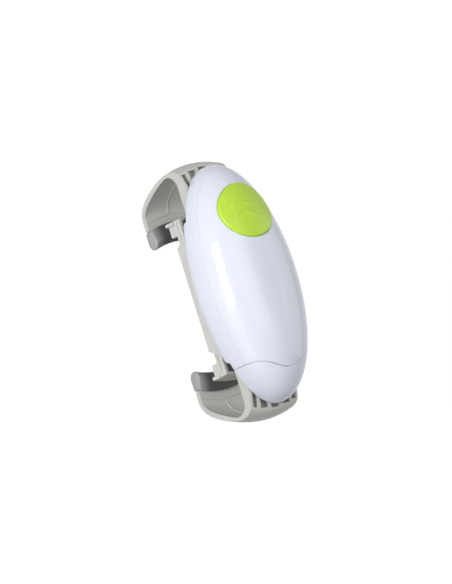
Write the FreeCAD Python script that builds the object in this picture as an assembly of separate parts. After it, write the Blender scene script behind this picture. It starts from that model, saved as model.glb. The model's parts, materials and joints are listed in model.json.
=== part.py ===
"""Electric jar opener: a battery powered kitchen tool that grips and turns lids.

A long white housing sits over two pairs of sliding grippers. The outer pair, the jar
arms, holds the glass. The inner pair, the lid jaws, slides in a turning carrier and
holds the lid. Each pair is linked by racks and one central pinion, and a motor drives
the carrier through a train of spur gears.

Frame: millimetres, X along the housing with the battery door at +X, Y across, Z up.
The origin is on the surface that the jar pads stand on, below the middle of the tool.
"""
import FreeCAD, Part
import math
import os

V = FreeCAD.Vector

# ---------------------------------------------------------------- driving dimensions

# Housing: an oval dome, its end rim level with Z = rim
shell_length = 176.0
shell_width = 77.0
crown_height = 37.0          # top of the dome above the end rim
crown_power = 2.42           # 2 would be an ellipse, more gives fuller shoulders
shell_wall = 2.2
seam_height = 12.4           # joint line of cover and lower housing, above the rim
seam_gap = 0.3
skirt_drop = 8.5             # the lower housing is deeper in the middle
skirt_inset = 3.8            # and draws in towards its lower edge
skirt_length = 95.0          # straight part of that edge
notch_run = 4.3              # slanted step at each end of the skirt
notch_rise = 5.8

# Battery door: the whole end of the housing, with a bowed joint line
door_start = 58.0
door_bow = 9.5
door_bow_width = 52.0
door_tongue = 6.0
door_tongue_width = 14.0

# Start button, set square to the slope of the dome
button_diameter = 42.6
button_x = -46.7
button_tilt = 15.4
button_sink = 5.1            # its seat circle below the dome's surface at its middle
button_proud = 1.8
button_skirt = 4.5
button_wall = 2.2
button_edge = 1.2
button_gap = 0.4
button_travel = 2.0
stem_diameter = 6.0
collar_wall = 1.5
bridge_thickness = 1.6
bridge_width = 13.0
spring_wire = 0.8
spring_turns = 4
switch_size = 6.0
switch_height = 3.6
plunger_diameter = 3.0
board_thickness = 1.4
board_length = 11.0
board_shift = -3.0           # towards the housing's end, clear of the motor
board_width = 20.0

# Chassis inside the housing, and the base plate below the arms
ledge_height = 1.2
ledge_width = 2.2
chassis_thickness = 2.0
base_thickness = 1.9
base_length = 92.0
base_margin = 1.5            # the base plate's edge inside the skirt's
rail_thickness = 1.8
screw_diameter = 2.6
screw_head = 4.6
boss_wall = 1.7
cover_screw_x = (-40.0, 14.0)
cover_screw_y = 27.0
base_screw_x = 30.0
base_screw_shift = 1.4        # from midway between the arms and the plate's edge

# Jar arms: a hooked band with a ribbed shoulder that slides under the housing
arm_depth = 64.0             # from the end rim down to the soles of the pads
arm_reach = 91.6             # outermost point of a side edge, from the middle
arm_width = 42.6
arm_bulge = 3.7              # the band's middle bows out beyond its edges
arm_wall = 3.0
heel_wall = 3.9              # the band thickens towards its lip
lip_wall = 4.0
arm_travel = 26.0
arm_inner_end = arm_travel + 24.0     # the closed decks stay clear of the spindle's boss
arm_top_gap = 0.7
deck_drop = 10.0             # underside of the sliding deck, below the rim
deck_thickness = 2.0
rib_pitch = 9.3
rib_thickness = 2.0
shoulder_slope = 15.0        # length over which the ribs' tops fall to the band
shoulder_drop = 4.6
shoulder_inset = 4.7
waist_drop = 17.5
thigh_height = 32.5
thigh_inset = 1.6
shin_height = 14.2
shin_inset = 8.4
heel_height = 5.4
heel_inset = 14.0
toe_inset = 23.8
armpit_inset = 5.2
armpit_drop = 13.4
pit_inset = 12.3
pocket_inset = 5.6
spine_width = 0.9            # low moulded lines inside the band
spine_height = 0.5
lip_line_shift = 0.4         # the line across the lip covers the spine's end

# Rubber jar pads on the arms' lips
pad_sole = 2.0
pad_nose = 45.2              # grip edge of a pad at its ends, from the middle
pad_height = 10.8
pad_back = 59.4
pad_back_height = 8.0
lip_end = 53.0
seat_gap = 0.1
lip_side_inset = 1.7         # the pad closes over the sides of the lip

# Lid carrier: a turning channel, open below, that the lid jaws slide in
carrier_length = 87.0
carrier_width = 54.0
carrier_gap = 0.5            # below the base plate
carrier_height = 11.8
carrier_wall = 1.8
carrier_bevel_run = 5.1
carrier_lip = 4.5
carrier_base_length = 30.0
carrier_base_thickness = 1.6

# Lid jaws
jaw_reach = 61.0
jaw_radius = 100.0           # the end wall bows out slightly
jaw_wall = 2.2
jaw_web = 1.1                # how far the side walls are recessed above their foot
jaw_foot = 2.8
jaw_floor = 1.8
jaw_travel = 32.0
jaw_inner_end = jaw_travel + 1.5      # the closed jaws just miss each other
jaw_notch = 11.5             # deeper middle cut-out that clears the pinion
finger_depth = 9.5           # fingers below the carrier's lower edge
finger_width = 48.0
lid_pad_face = 52.5
lid_pad_radius = 45.0
lid_pad_height = 8.0
lid_pad_width = 44.0
slide_gap = 0.3

# Racks and pinions that keep each pair of grippers centred
rack_module = 1.0
rack_pinion_teeth = 16
rack_back = 4.6
rack_height = 4.8
rack_overrun = 6.0
pressure_angle = 25.0
addendum_share = 0.85
dedendum_share = 1.15
backlash = 0.16

# Gear train from the motor to the carrier's spindle
train_module = 0.8
pinion_teeth = 10
wheel_teeth = 32
output_teeth = 40
output_width = 5.0
wheel_width = 2.8
motor_x = -28.0
idler_angle = 95.7
motor_diameter = 20.0
motor_flat = 15.4
motor_length = 19.5
motor_shaft = 2.0
gear_deck_thickness = 1.2
axle_diameter = 2.0
running_gap = 0.06
post_diameter = 5.0
spindle_diameter = 7.0
journal_diameter = 6.0
drive_flats = 6.0
bush_wall = 1.5
washer_thickness = 0.5

# AA cells and their contacts
cell_diameter = 14.2
cell_length = 49.2
cell_nub = 1.3
cell_pitch = 15.0
cell_x = 21.6
tray_wall = 1.2
tray_height = 9.0
contact_thickness = 0.4

# ---------------------------------------------------------------- derived places

rim = arm_depth
half_length = shell_length / 2
half_width = shell_width / 2
arm_half = arm_width / 2
arm_top = rim - arm_top_gap
deck_bottom = rim - deck_drop
deck_top = deck_bottom + deck_thickness
lip_bottom = pad_sole
lip_top = lip_bottom + lip_wall
chassis_bottom = rim + ledge_height
chassis_top = chassis_bottom + chassis_thickness
base_top = deck_bottom - slide_gap
base_bottom = base_top - base_thickness
base_edge = half_width - skirt_inset - base_margin
base_screw_y = (arm_half + slide_gap + base_edge) / 2 - base_screw_shift
carrier_top = base_bottom - carrier_gap
carrier_bottom = carrier_top - carrier_height
carrier_half = carrier_width / 2
carrier_roof = carrier_top - carrier_wall
jaw_half = carrier_half - carrier_wall - slide_gap
jaw_bottom = carrier_bottom + carrier_base_thickness + slide_gap
jaw_floor_top = jaw_bottom + jaw_floor
jaw_top = carrier_roof - slide_gap
finger_bottom = carrier_bottom - finger_depth
neck_half = carrier_half - carrier_lip - slide_gap
rack_pitch_radius = rack_module * rack_pinion_teeth / 2
jar_rack_bottom = deck_top + slide_gap
jar_rack_top = jar_rack_bottom + rack_height
lid_rack_bottom = jaw_floor_top + slide_gap
lid_rack_top = min(lid_rack_bottom + rack_height, jaw_top)
wheel_radius = train_module * wheel_teeth / 2
pinion_radius = train_module * pinion_teeth / 2
output_radius = train_module * output_teeth / 2
output_bottom = chassis_top + washer_thickness + slide_gap
output_top = output_bottom + output_width
gear_deck_bottom = output_top + 2 * slide_gap
gear_deck_top = gear_deck_bottom + gear_deck_thickness
second_bottom = gear_deck_top + slide_gap
second_top = second_bottom + wheel_width
motor_bottom = chassis_top
motor_top = motor_bottom + motor_length
first_bottom = motor_top + 2 * slide_gap
first_top = first_bottom + wheel_width
cell_z = chassis_top + slide_gap + cell_diameter / 2
cell_end = cell_x + cell_length + cell_nub
button_radius = button_diameter / 2
tilt = math.radians(button_tilt)

# ---------------------------------------------------------------- shape helpers


def box(x0, x1, y0, y1, z0, z1):
    """Block between two corners."""
    return Part.makeBox(x1 - x0, y1 - y0, z1 - z0, V(x0, y0, z0))


def cylinder(radius, z0, z1, x=0.0, y=0.0):
    """Upright cylinder."""
    return Part.makeCylinder(radius, z1 - z0, V(x, y, z0))


def tube(outer, inner, z0, z1, x=0.0, y=0.0):
    """Upright tube."""
    return cylinder(outer, z0, z1, x, y).cut(cylinder(inner, z0 - 1, z1 + 1, x, y))


def polygon_face(points):
    """Planar face inside a closed polygon."""
    return Part.Face(Part.makePolygon(points + [points[0]]))


def plan_prism(points, z0, z1):
    """Prism over a polygon given by plan points."""
    return polygon_face([V(x, y, z0) for x, y in points]).extrude(V(0, 0, z1 - z0))


def side_prism(points, y0, y1):
    """Prism over a polygon given by (x, z) points, running across the tool."""
    return polygon_face([V(x, y0, z) for x, z in points]).extrude(V(0, y1 - y0, 0))


def fuse_all(shapes):
    """One solid out of several that overlap."""
    result = shapes[0].multiFuse(shapes[1:]) if len(shapes) > 1 else shapes[0]
    return result.removeSplitter()


def turned(shape):
    """The same shape at the opposite end of the tool: half a turn about the spindle."""
    copy = shape.copy()
    copy.rotate(V(0, 0, 0), V(0, 0, 1), 180)
    return copy


def mirrored_pair(shape):
    """A shape and its mirror image across the tool's middle plane."""
    return [shape, shape.mirror(V(0, 0, 0), V(0, 1, 0))]


# ---------------------------------------------------------------- dome of the housing


def crown_z(x, y, grow=0.0):
    """Height of the dome above the rim at a plan point."""
    rho = math.hypot(x / (half_length + grow), y / (half_width + grow))
    return (crown_height + grow) * max(0.0, 1 - rho ** crown_power) ** (1 / crown_power)


def dome(grow, base=0.0):
    """Solid inside the dome, offset by grow, standing on a short straight foot."""
    length = half_length + grow
    height = crown_height + grow
    steps = 12
    points = []
    for i in range(steps + 1):
        angle = math.pi / 2 * i / steps
        share = 2 / crown_power
        rho = math.cos(angle) ** share if i < steps else 0.0
        lift = math.sin(angle) ** share
        points.append(V(length * rho, 0, rim + height * lift))
    profile = Part.BSplineCurve()
    profile.interpolate(Points=points, InitialTangent=V(0, 0, 1), FinalTangent=V(-1, 0, 0))
    edges = [profile.toShape()]
    edges.append(Part.makeLine(points[-1], V(0, 0, rim - base)))
    edges.append(Part.makeLine(V(0, 0, rim - base), V(length, 0, rim - base)))
    if base > 0:
        edges.append(Part.makeLine(V(length, 0, rim - base), points[0]))
    round_dome = Part.Face(Part.Wire(edges)).revolve(V(0, 0, 0), V(0, 0, 1), 360)
    squeeze = FreeCAD.Matrix()
    squeeze.A22 = (half_width + grow) / length
    return round_dome.transformGeometry(squeeze)


def ellipse_wire(length, width, z):
    """Oval outline at one height."""
    oval = Part.Ellipse(V(length, 0, z), V(0, width, z), V(0, 0, z))
    return Part.Wire(oval.toShape())


def shell_share(z):
    """Share of the dome's plan size that is left at a height."""
    lift = max(0.0, z - rim) / crown_height
    return max(0.0, 1 - lift ** crown_power) ** (1 / crown_power)


def side_wall(grow, overrun=0.0):
    """Solid inside the housing's side from the skirt's edge up to the seam."""
    low = rim - skirt_drop
    high = rim + seam_height - seam_gap / 2
    heights = [low, (low + rim) / 2, rim] + [rim + (high - rim) * k / 3 for k in (1, 2, 3)]
    heights[0] -= overrun
    heights[-1] += overrun
    outlines = []
    for z in heights:
        inset = skirt_inset * (max(0.0, rim - z) / skirt_drop) ** 2
        share = shell_share(z)
        outlines.append(ellipse_wire(half_length * share + grow - inset,
                                     half_width * share + grow - inset, z))
    return Part.makeLoft(outlines, True, False)


def door_line_x(y, shift=0.0):
    """Where the door's joint line lies along the tool, by the distance from its middle."""
    share = min(1.0, abs(y) / (door_bow_width / 2))
    return door_start + door_bow * (1 + math.cos(math.pi * share)) / 2 + shift


def beyond_door_line(shift):
    """Everything on the battery end's side of the door's joint line."""
    reach = half_length + 10
    bow_half = door_bow_width / 2
    points = [V(door_line_x(bow_half * k / 6, shift), bow_half * k / 6, 0) for k in range(-6, 7)]
    wave = Part.BSplineCurve()
    wave.interpolate(Points=points, InitialTangent=V(0, 1, 0), FinalTangent=V(0, 1, 0))
    start = V(door_start + shift, -reach, 0)
    end = V(door_start + shift, reach, 0)
    edges = [Part.makeLine(start, points[0]), wave.toShape(), Part.makeLine(points[-1], end)]
    edges.append(Part.makeLine(end, V(reach + half_length, reach, 0)))
    edges.append(Part.makeLine(V(reach + half_length, reach, 0),
                               V(reach + half_length, -reach, 0)))
    edges.append(Part.makeLine(V(reach + half_length, -reach, 0), start))
    return Part.Face(Part.Wire(edges)).extrude(V(0, 0, 2 * rim + crown_height))


# ---------------------------------------------------------------- button placement

button_seat = V(button_x, 0, rim + crown_z(button_x, 0) - button_sink)
button_axis = V(-math.sin(tilt), 0, math.cos(tilt))
button_place = FreeCAD.Placement(button_seat, FreeCAD.Rotation(V(0, 1, 0), -button_tilt))


def on_button(shape):
    """Moves a shape drawn about the origin on to the button's seat and slope."""
    copy = shape.copy()
    copy.Placement = button_place.multiply(copy.Placement)
    return copy


bridge_top = -(button_skirt + button_travel + 0.7)
bridge_bottom = bridge_top - bridge_thickness
stem_end = bridge_bottom - 1.0
switch_top = stem_end - button_travel - 0.3
board_top = switch_top - switch_height
bridge_shift = -1.5          # the bridge lies a little off the button's axis

# ---------------------------------------------------------------- housing pieces


def cover_boss_places():
    """Plan points of the four screws that hold the cover."""
    return [(x, y) for x in cover_screw_x for y in (-cover_screw_y, cover_screw_y)]


def make_top_cover():
    """White dome with the button's well, screw bosses and a lip that locates it."""
    shell = dome(0.0).cut(dome(-shell_wall, 1.0))
    shell = shell.cut(box(-200, 200, -100, 100, 0, rim + seam_height + seam_gap / 2))
    collar = on_button(tube(button_radius + button_gap + collar_wall,
                            button_radius + button_gap, -button_skirt - button_travel, 30))
    inside = dome(-shell_wall / 2, 1.0)
    collar = collar.common(inside)
    collar = collar.cut(box(-200, 200, -100, 100, 0, rim + seam_height + seam_gap / 2))
    cover = shell.fuse(collar)
    for x, y in cover_boss_places():
        boss = cylinder(screw_diameter / 2 + boss_wall, chassis_top + slide_gap, 2 * rim, x, y)
        cover = cover.fuse(boss.common(inside))
    cover = cover.cut(on_button(cylinder(button_radius + button_gap, -25, 30)))
    cover = cover.cut(beyond_door_line(-seam_gap / 2))
    for x, y in cover_boss_places():
        cover = cover.cut(cylinder(screw_diameter / 2, 0, chassis_top + 10, x, y))
    return cover.removeSplitter()


def make_lower_housing():
    """White lower band and skirt with the ledge that carries the chassis."""
    shell = side_wall(0.0).cut(side_wall(-shell_wall, 1.0))
    ledge = Part.Face(ellipse_wire(half_length - shell_wall / 2, half_width - shell_wall / 2, rim))
    ledge = ledge.extrude(V(0, 0, ledge_height))
    hollow = shell_wall + ledge_width
    core = Part.Face(ellipse_wire(half_length - hollow, half_width - hollow, rim - 1))
    ledge = ledge.cut(core.extrude(V(0, 0, ledge_height + 2)))
    shell = shell.fuse(ledge)
    corner = skirt_length / 2
    far = half_length + 10
    step = [(corner, rim - skirt_drop - 1), (corner, rim - skirt_drop),
            (corner + notch_run, rim - skirt_drop + notch_rise), (corner + notch_run, rim),
            (far, rim), (far, rim - skirt_drop - 1)]
    notch = side_prism(step, -half_width - 5, half_width + 5)
    shell = shell.cut(notch).cut(turned(notch))
    end_cut = box(door_start - seam_gap / 2, far, -half_width - 5, half_width + 5,
                  rim - 1, 3 * rim)
    return shell.cut(end_cut).removeSplitter()


def make_battery_door():
    """End of the dome that slides off along the tool, with its locating tongue."""
    shell = dome(0.0).cut(dome(-shell_wall, 1.0))
    door = shell.common(beyond_door_line(seam_gap / 2))
    joint = door_line_x(0)
    half = door_tongue_width / 2
    tongue_top = rim + crown_z(joint, half, -shell_wall) - slide_gap
    tongue = box(joint - door_tongue, joint + 3, -half, half, tongue_top - 1.4, tongue_top)
    root = box(joint + 0.6, joint + 3, -half, half, tongue_top - 1.4, rim + crown_height)
    root = root.common(dome(-shell_wall / 2))
    return fuse_all([door, tongue, root])


def make_button():
    """Domed push button with a rounded edge, a hollow back and a guide stem."""
    cap = on_button(cylinder(button_radius, -button_skirt, 30)).common(dome(button_proud, 1.0))
    rim_edges = [e for e in cap.Edges if is_button_rim(e)]
    cap = cap.makeFillet(button_edge, rim_edges)
    hollow = on_button(cylinder(button_radius - button_wall, -button_skirt - 1, 30))
    cap = cap.cut(hollow.common(dome(button_proud - button_wall, 1.0)))
    stem = on_button(cylinder(stem_diameter / 2, stem_end, 30))
    stem = stem.common(dome(button_proud - button_wall / 2, 1.0))
    collar = on_button(cylinder(stem_diameter / 2 + 1.6, -1.0, 30))
    collar = collar.common(dome(button_proud - button_wall / 2, 1.0))
    return fuse_all([cap, stem, collar])


def is_button_rim(edge):
    """True for the edge where the button's side meets its domed top."""
    point = edge.valueAt((edge.FirstParameter + edge.LastParameter) / 2)
    local = button_place.inverse().multVec(point)
    on_side = abs(math.hypot(local.x, local.y) - button_radius) < 0.05
    return on_side and local.z > -button_skirt + 0.5


def make_button_spring():
    """Coil that lifts the button, standing on the bridge around the stem."""
    coil_radius = stem_diameter / 2 + 0.5 + spring_wire / 2
    bottom = bridge_top + spring_wire / 2 + 0.05
    top = -1.0 - spring_wire / 2 - 0.05
    pitch = (top - bottom) / spring_turns
    helix = Part.makeHelix(pitch, top - bottom, coil_radius)
    section = Part.Wire(Part.makeCircle(spring_wire / 2, V(coil_radius, 0, 0), V(0, 1, 0)))
    coil = Part.Wire(helix.Edges).makePipeShell([section], True, True)
    coil.translate(V(0, 0, bottom))
    return on_button(coil)


def make_button_bridge():
    """Bar across the well that guides the stem and carries the circuit board."""
    x0 = bridge_shift - bridge_width / 2
    x1 = bridge_shift + bridge_width / 2
    reach = math.sqrt((button_radius + button_gap + collar_wall) ** 2 - x0 ** 2) - 0.2
    bar = box(x0, x1, -reach, reach, bridge_bottom, bridge_top)
    foot = box(x0, board_shift + board_length / 2, board_width / 2 - 1.2, board_width / 2 + 1.0,
               board_top - board_thickness, bridge_bottom + 0.1)
    seat = tube(stem_diameter / 2 + 1.8, stem_diameter / 2 + 0.15, bridge_bottom - 0.6,
                bridge_bottom + 0.1)
    bridge = fuse_all([bar, seat] + mirrored_pair(foot))
    bridge = bridge.cut(cylinder(stem_diameter / 2 + 0.15, bridge_bottom - 2, bridge_top + 2))
    slot = box(x0 - 1, x1 + 1, board_width / 2 - 1.3, board_width / 2 + 0.05,
               board_top - board_thickness - 0.05, board_top + 0.05)
    for cutter in mirrored_pair(slot):
        bridge = bridge.cut(cutter)
    return on_button(bridge)


def make_circuit_board():
    """Small board held between the bridge's feet."""
    x0 = board_shift - board_length / 2
    return on_button(box(x0, x0 + board_length, -board_width / 2, board_width / 2,
                         board_top - board_thickness, board_top))


def make_switch():
    """Square push switch on the board, with the well that its plunger slides in."""
    half = switch_size / 2
    body = box(-half, half, -half, half, board_top, switch_top)
    body = body.makeChamfer(0.4, [e for e in body.Edges if e.BoundBox.ZMin > switch_top - 0.01])
    well = cylinder(plunger_diameter / 2 + 0.1, switch_top - button_travel - 0.6, switch_top + 1)
    return on_button(body.cut(well))


def make_switch_plunger():
    """Plunger of the switch, standing under the button's stem."""
    return on_button(cylinder(plunger_diameter / 2, switch_top - 0.4, stem_end - 0.02))


# ---------------------------------------------------------------- chassis and base


def screw(x, y, z_head, z_tip, radius, head_radius):
    """Countersunk screw that points up, with its head's flat face at z_head."""
    shaft = cylinder(radius, z_head, z_tip, x, y)
    cone = Part.makeCone(head_radius, radius, head_radius - radius, V(x, y, z_head))
    return shaft.fuse(cone).removeSplitter()


def base_screw_places():
    """Plan points of the four screws that hold the base plate."""
    return [(x, y) for x in (-base_screw_x, base_screw_x) for y in (-base_screw_y, base_screw_y)]


def train_places():
    """Plan points of the motor, the first and the second compound gear."""
    mesh = pinion_radius + wheel_radius
    last = pinion_radius + output_radius
    angle = math.radians(idler_angle)
    second = V(last * math.cos(angle), last * math.sin(angle), 0)
    motor = V(motor_x, 0, 0)
    span = second - motor
    offset = math.sqrt(max(0.01, mesh ** 2 - (span.Length / 2) ** 2))
    side = V(span.y, -span.x, 0)
    side.normalize()
    first = motor + span * 0.5 + side * offset
    return motor, first, second


motor_at, first_at, second_at = train_places()
deck_posts = [(13.5, -14.5), (15.5, 14.5), (-10.0, -19.0), (-17.5, 17.5)]
bridge_posts = [(first_at.x + wheel_radius + 4.6, first_at.y - 2.0),
                (first_at.x + 3.0, first_at.y - wheel_radius - 4.6)]


def make_chassis():
    """Floor of the housing: gear posts, motor seat, cell tray and guide rails."""
    share = shell_share(chassis_top)
    inset = shell_wall + slide_gap
    plate = Part.Face(ellipse_wire(half_length * share - inset, half_width * share - inset,
                                   chassis_bottom))
    plate = plate.extrude(V(0, 0, chassis_thickness))
    parts = [plate]
    rail = box(-base_length / 2 + 3, base_length / 2 - 3, arm_half + slide_gap,
               arm_half + slide_gap + rail_thickness, base_top, chassis_bottom + 0.5)
    parts += mirrored_pair(rail)
    channel = box(-half_length, half_length, -arm_half - slide_gap, arm_half + slide_gap,
                  base_top - 1, chassis_bottom)
    for x, y in base_screw_places():
        post = cylinder(screw_diameter / 2 + boss_wall, base_top, chassis_bottom + 0.5, x, y)
        parts.append(post.cut(channel))
    for x, y in deck_posts:
        parts.append(cylinder(post_diameter / 2, chassis_top - 0.5, gear_deck_bottom, x, y))
    parts.append(cylinder(spindle_diameter / 2 + bush_wall + 1.6,
                          jar_rack_top, chassis_bottom + 0.5))
    seat = tube(motor_diameter / 2 + 0.15 + tray_wall, motor_diameter / 2 + 0.15,
                chassis_top - 0.5, chassis_top + 4.0, motor_at.x, motor_at.y)
    clear = cylinder(output_radius + train_module + 0.5, chassis_top, output_top + 1)
    parts.append(seat.cut(clear))
    tray_half = cell_pitch / 2 + cell_diameter / 2 + slide_gap
    tray_z = chassis_top + tray_height
    x0 = cell_x - contact_thickness - slide_gap
    x1 = cell_end - 4.0
    side = box(x0 - tray_wall, x1, tray_half, tray_half + tray_wall, chassis_top - 0.5, tray_z)
    parts += mirrored_pair(side)
    parts.append(box(x0 - tray_wall, x0, -tray_half - tray_wall, tray_half + tray_wall,
                     chassis_top - 0.5, tray_z + 2))
    parts.append(box(x0, x1, -(cell_pitch - cell_diameter) / 2 + slide_gap / 2,
                     (cell_pitch - cell_diameter) / 2 - slide_gap / 2, chassis_top - 0.5,
                     chassis_top + tray_height / 3))
    chassis = fuse_all(parts)
    bore = cylinder(spindle_diameter / 2 + running_gap + bush_wall, 0, chassis_top + 1)
    chassis = chassis.cut(bore)
    for x, y in cover_boss_places():
        chassis = chassis.cut(cylinder(screw_diameter / 2 + 0.15, 0, chassis_top + 1, x, y))
        sink = Part.makeCone(screw_head / 2 + 0.1, screw_diameter / 2 + 0.1,
                             (screw_head - screw_diameter) / 2, V(x, y, chassis_bottom))
        chassis = chassis.cut(sink)
    for x, y in base_screw_places():
        chassis = chassis.cut(cylinder(screw_diameter / 2, base_top - 1, chassis_bottom - 1, x, y))
    return chassis.cut(cylinder(axle_diameter / 2, chassis_bottom + 0.4, chassis_top + 1,
                                second_at.x, second_at.y))


def make_base_plate():
    """Plate under the arms' decks, screwed to the chassis through four posts."""
    plate = Part.Face(ellipse_wire(half_length - skirt_inset - base_margin, base_edge,
                                   base_bottom))
    plate = plate.extrude(V(0, 0, base_thickness))
    half = base_length / 2
    plate = plate.common(box(-half, half, -base_edge, base_edge, base_bottom - 1, base_top + 1))
    plate = plate.makeChamfer(0.5, [e for e in plate.Edges if e.BoundBox.ZMax < base_bottom + 0.01])
    boss = cylinder(spindle_diameter / 2 + 2.0, base_top - 0.5, jar_rack_bottom - slide_gap)
    plate = plate.fuse(boss)
    plate = plate.cut(cylinder(spindle_diameter / 2 + running_gap, 0, rim))
    for x, y in base_screw_places():
        plate = plate.cut(cylinder(screw_diameter / 2 + 0.15, 0, base_top + 1, x, y))
        sink = Part.makeCone(screw_head / 2 + 0.1, screw_diameter / 2 + 0.1,
                             (screw_head - screw_diameter) / 2, V(x, y, base_bottom))
        plate = plate.cut(sink)
    return plate.removeSplitter()


def make_cover_screws():
    """Four screws that pass up through the chassis into the cover's bosses."""
    parts = [screw(x, y, chassis_bottom, chassis_top + 8, screw_diameter / 2 - 0.05,
                   screw_head / 2) for x, y in cover_boss_places()]
    return Part.makeCompound(parts)


def make_base_screws():
    """Four screws that hold the base plate to the chassis posts."""
    parts = [screw(x, y, base_bottom, base_top + 8, screw_diameter / 2 - 0.05,
                   screw_head / 2) for x, y in base_screw_places()]
    return Part.makeCompound(parts)


def make_spindle_bush():
    """Bearing bush of the spindle in the chassis."""
    radius = spindle_diameter / 2 + running_gap
    return tube(radius + bush_wall - 0.02, radius, jar_rack_top, chassis_top)


# ---------------------------------------------------------------- gears and racks


def involute(angle):
    """Involute function."""
    return math.tan(angle) - angle


def gear(teeth, module, z0, z1, x=0.0, y=0.0, turn=0.0, bore=0.0):
    """Spur gear with involute flanks; at turn 0 a tooth points along +X."""
    pitch = module * teeth / 2
    alpha = math.radians(pressure_angle)
    base = pitch * math.cos(alpha)
    tip = pitch + addendum_share * module
    root = pitch - dedendum_share * module
    half_tooth = math.pi / (2 * teeth) - backlash / (2 * pitch)
    flank = []
    for radius in (max(base, root + 0.01), pitch, tip):
        local = math.acos(min(1.0, base / radius))
        flank.append((radius, half_tooth + involute(alpha) - involute(local)))
    flank.insert(0, (root, flank[0][1]))
    points = []
    for k in range(teeth):
        centre = math.radians(turn) + 2 * math.pi * k / teeth
        rising = [(r, centre - a) for r, a in flank]
        falling = [(r, centre + a) for r, a in reversed(flank)]
        for r, a in rising + falling:
            points.append((x + r * math.cos(a), y + r * math.sin(a)))
    solid = plan_prism(points, z0, z1)
    if bore > 0:
        solid = solid.cut(cylinder(bore, z0 - 1, z1 + 1, x, y))
    return solid


def rack(x0, x1, back, z0, z1):
    """Rack beside the pinion, teeth facing it, with a gap opposite the pinion's tooth."""
    pitch = math.pi * rack_module
    slope = math.tan(math.radians(pressure_angle))
    tip = rack_pitch_radius - addendum_share * rack_module
    root = rack_pitch_radius + dedendum_share * rack_module
    half = pitch / 4 - backlash / 2
    at_tip = half - addendum_share * rack_module * slope
    at_root = half + dedendum_share * rack_module * slope
    points = [(x0, root)]
    first = math.ceil((x0 + at_root) / pitch - 0.5)
    last = math.floor((x1 - at_root) / pitch - 0.5)
    for k in range(first, last + 1):
        middle = (k + 0.5) * pitch
        points += [(middle - at_root, root), (middle - at_tip, tip),
                   (middle + at_tip, tip), (middle + at_root, root)]
    points += [(x1, root), (x1, back), (x0, back)]
    return plan_prism(points, z0, z1)


def mesh_turn(driver, driven, driver_turn, driver_teeth, driven_teeth):
    """Turn, in degrees, that puts a gap of the driven gear opposite a driver's tooth."""
    line = math.degrees(math.atan2(driven.y - driver.y, driven.x - driver.x))
    pitch_driver = 360.0 / driver_teeth
    pitch_driven = 360.0 / driven_teeth
    phase = ((line - driver_turn) / pitch_driver) % 1.0
    return line + 180.0 + (phase - 0.5) * pitch_driven


def make_train():
    """Motor pinion, two compound gears and the output gear, all in mesh."""
    axle = axle_diameter / 2 + running_gap
    origin = V(0, 0, 0)
    output_turn = 0.0
    second_small = mesh_turn(origin, second_at, output_turn, output_teeth, pinion_teeth)
    first_small = mesh_turn(second_at, first_at, 0.0, wheel_teeth, pinion_teeth)
    motor_turn = mesh_turn(first_at, motor_at, 0.0, wheel_teeth, pinion_teeth)
    hole = spindle_diameter / 2
    output = gear(output_teeth, train_module, output_bottom, output_top, bore=hole)
    hub = tube(hole + 2.5, hole, output_bottom - slide_gap, output_top + slide_gap)
    flat = box(drive_flats / 2, hole + 1, -hole, hole, output_bottom - slide_gap,
               output_top + slide_gap)
    key = flat.common(cylinder(hole + 1, output_bottom - slide_gap, output_top + slide_gap))
    output = fuse_all([output, hub, key] + [turned(key)])
    second = fuse_all([
        gear(wheel_teeth, train_module, second_bottom, second_top, second_at.x, second_at.y),
        gear(pinion_teeth, train_module, chassis_top + slide_gap, second_bottom + 0.5,
             second_at.x, second_at.y, second_small)])
    second = second.cut(cylinder(axle, chassis_top, rim + crown_height, second_at.x, second_at.y))
    first = fuse_all([
        gear(wheel_teeth, train_module, first_bottom, first_top, first_at.x, first_at.y),
        gear(pinion_teeth, train_module, second_bottom, second_top + 1.0,
             first_at.x, first_at.y, first_small),
        cylinder(pinion_radius - train_module, second_top, first_bottom + 0.5,
                 first_at.x, first_at.y)])
    first = first.cut(cylinder(axle, chassis_top, rim + crown_height, first_at.x, first_at.y))
    motor_pinion = gear(pinion_teeth, train_module, first_bottom - slide_gap,
                        first_top + slide_gap, motor_at.x, motor_at.y, motor_turn,
                        motor_shaft / 2)
    return output, second, first, motor_pinion


def make_axles():
    """Fixed steel axles of the two compound gears."""
    first = cylinder(axle_diameter / 2, gear_deck_bottom + 0.2, first_top + 2 * slide_gap + 0.8,
                     first_at.x, first_at.y)
    second = cylinder(axle_diameter / 2, chassis_bottom + 0.4, second_top + 1.0,
                      second_at.x, second_at.y)
    return Part.makeCompound([first, second])


def make_gear_deck():
    """Middle plate of the gearbox, on posts, that holds the spindle's top and an axle."""
    outline = [(-20.5, -12.0), (-13.0, -22.0), (17.0, -18.0), (18.5, 18.0),
               (8.0, 27.0), (-12.0, 27.0), (-21.0, 20.5)]
    plate = plan_prism(outline, gear_deck_bottom, gear_deck_top)
    plate = plate.cut(cylinder(motor_diameter / 2 + 0.6, 0, gear_deck_top + 1,
                               motor_at.x, motor_at.y))
    plate = plate.cut(cylinder(pinion_radius + train_module + 0.6, 0, gear_deck_top + 1,
                               second_at.x, second_at.y))
    plate = plate.cut(cylinder(spindle_diameter / 2 - 0.5 + running_gap, 0, gear_deck_top + 1))
    plate = plate.cut(cylinder(axle_diameter / 2, gear_deck_bottom + 0.2, gear_deck_top + 1,
                               first_at.x, first_at.y))
    return plate


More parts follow.
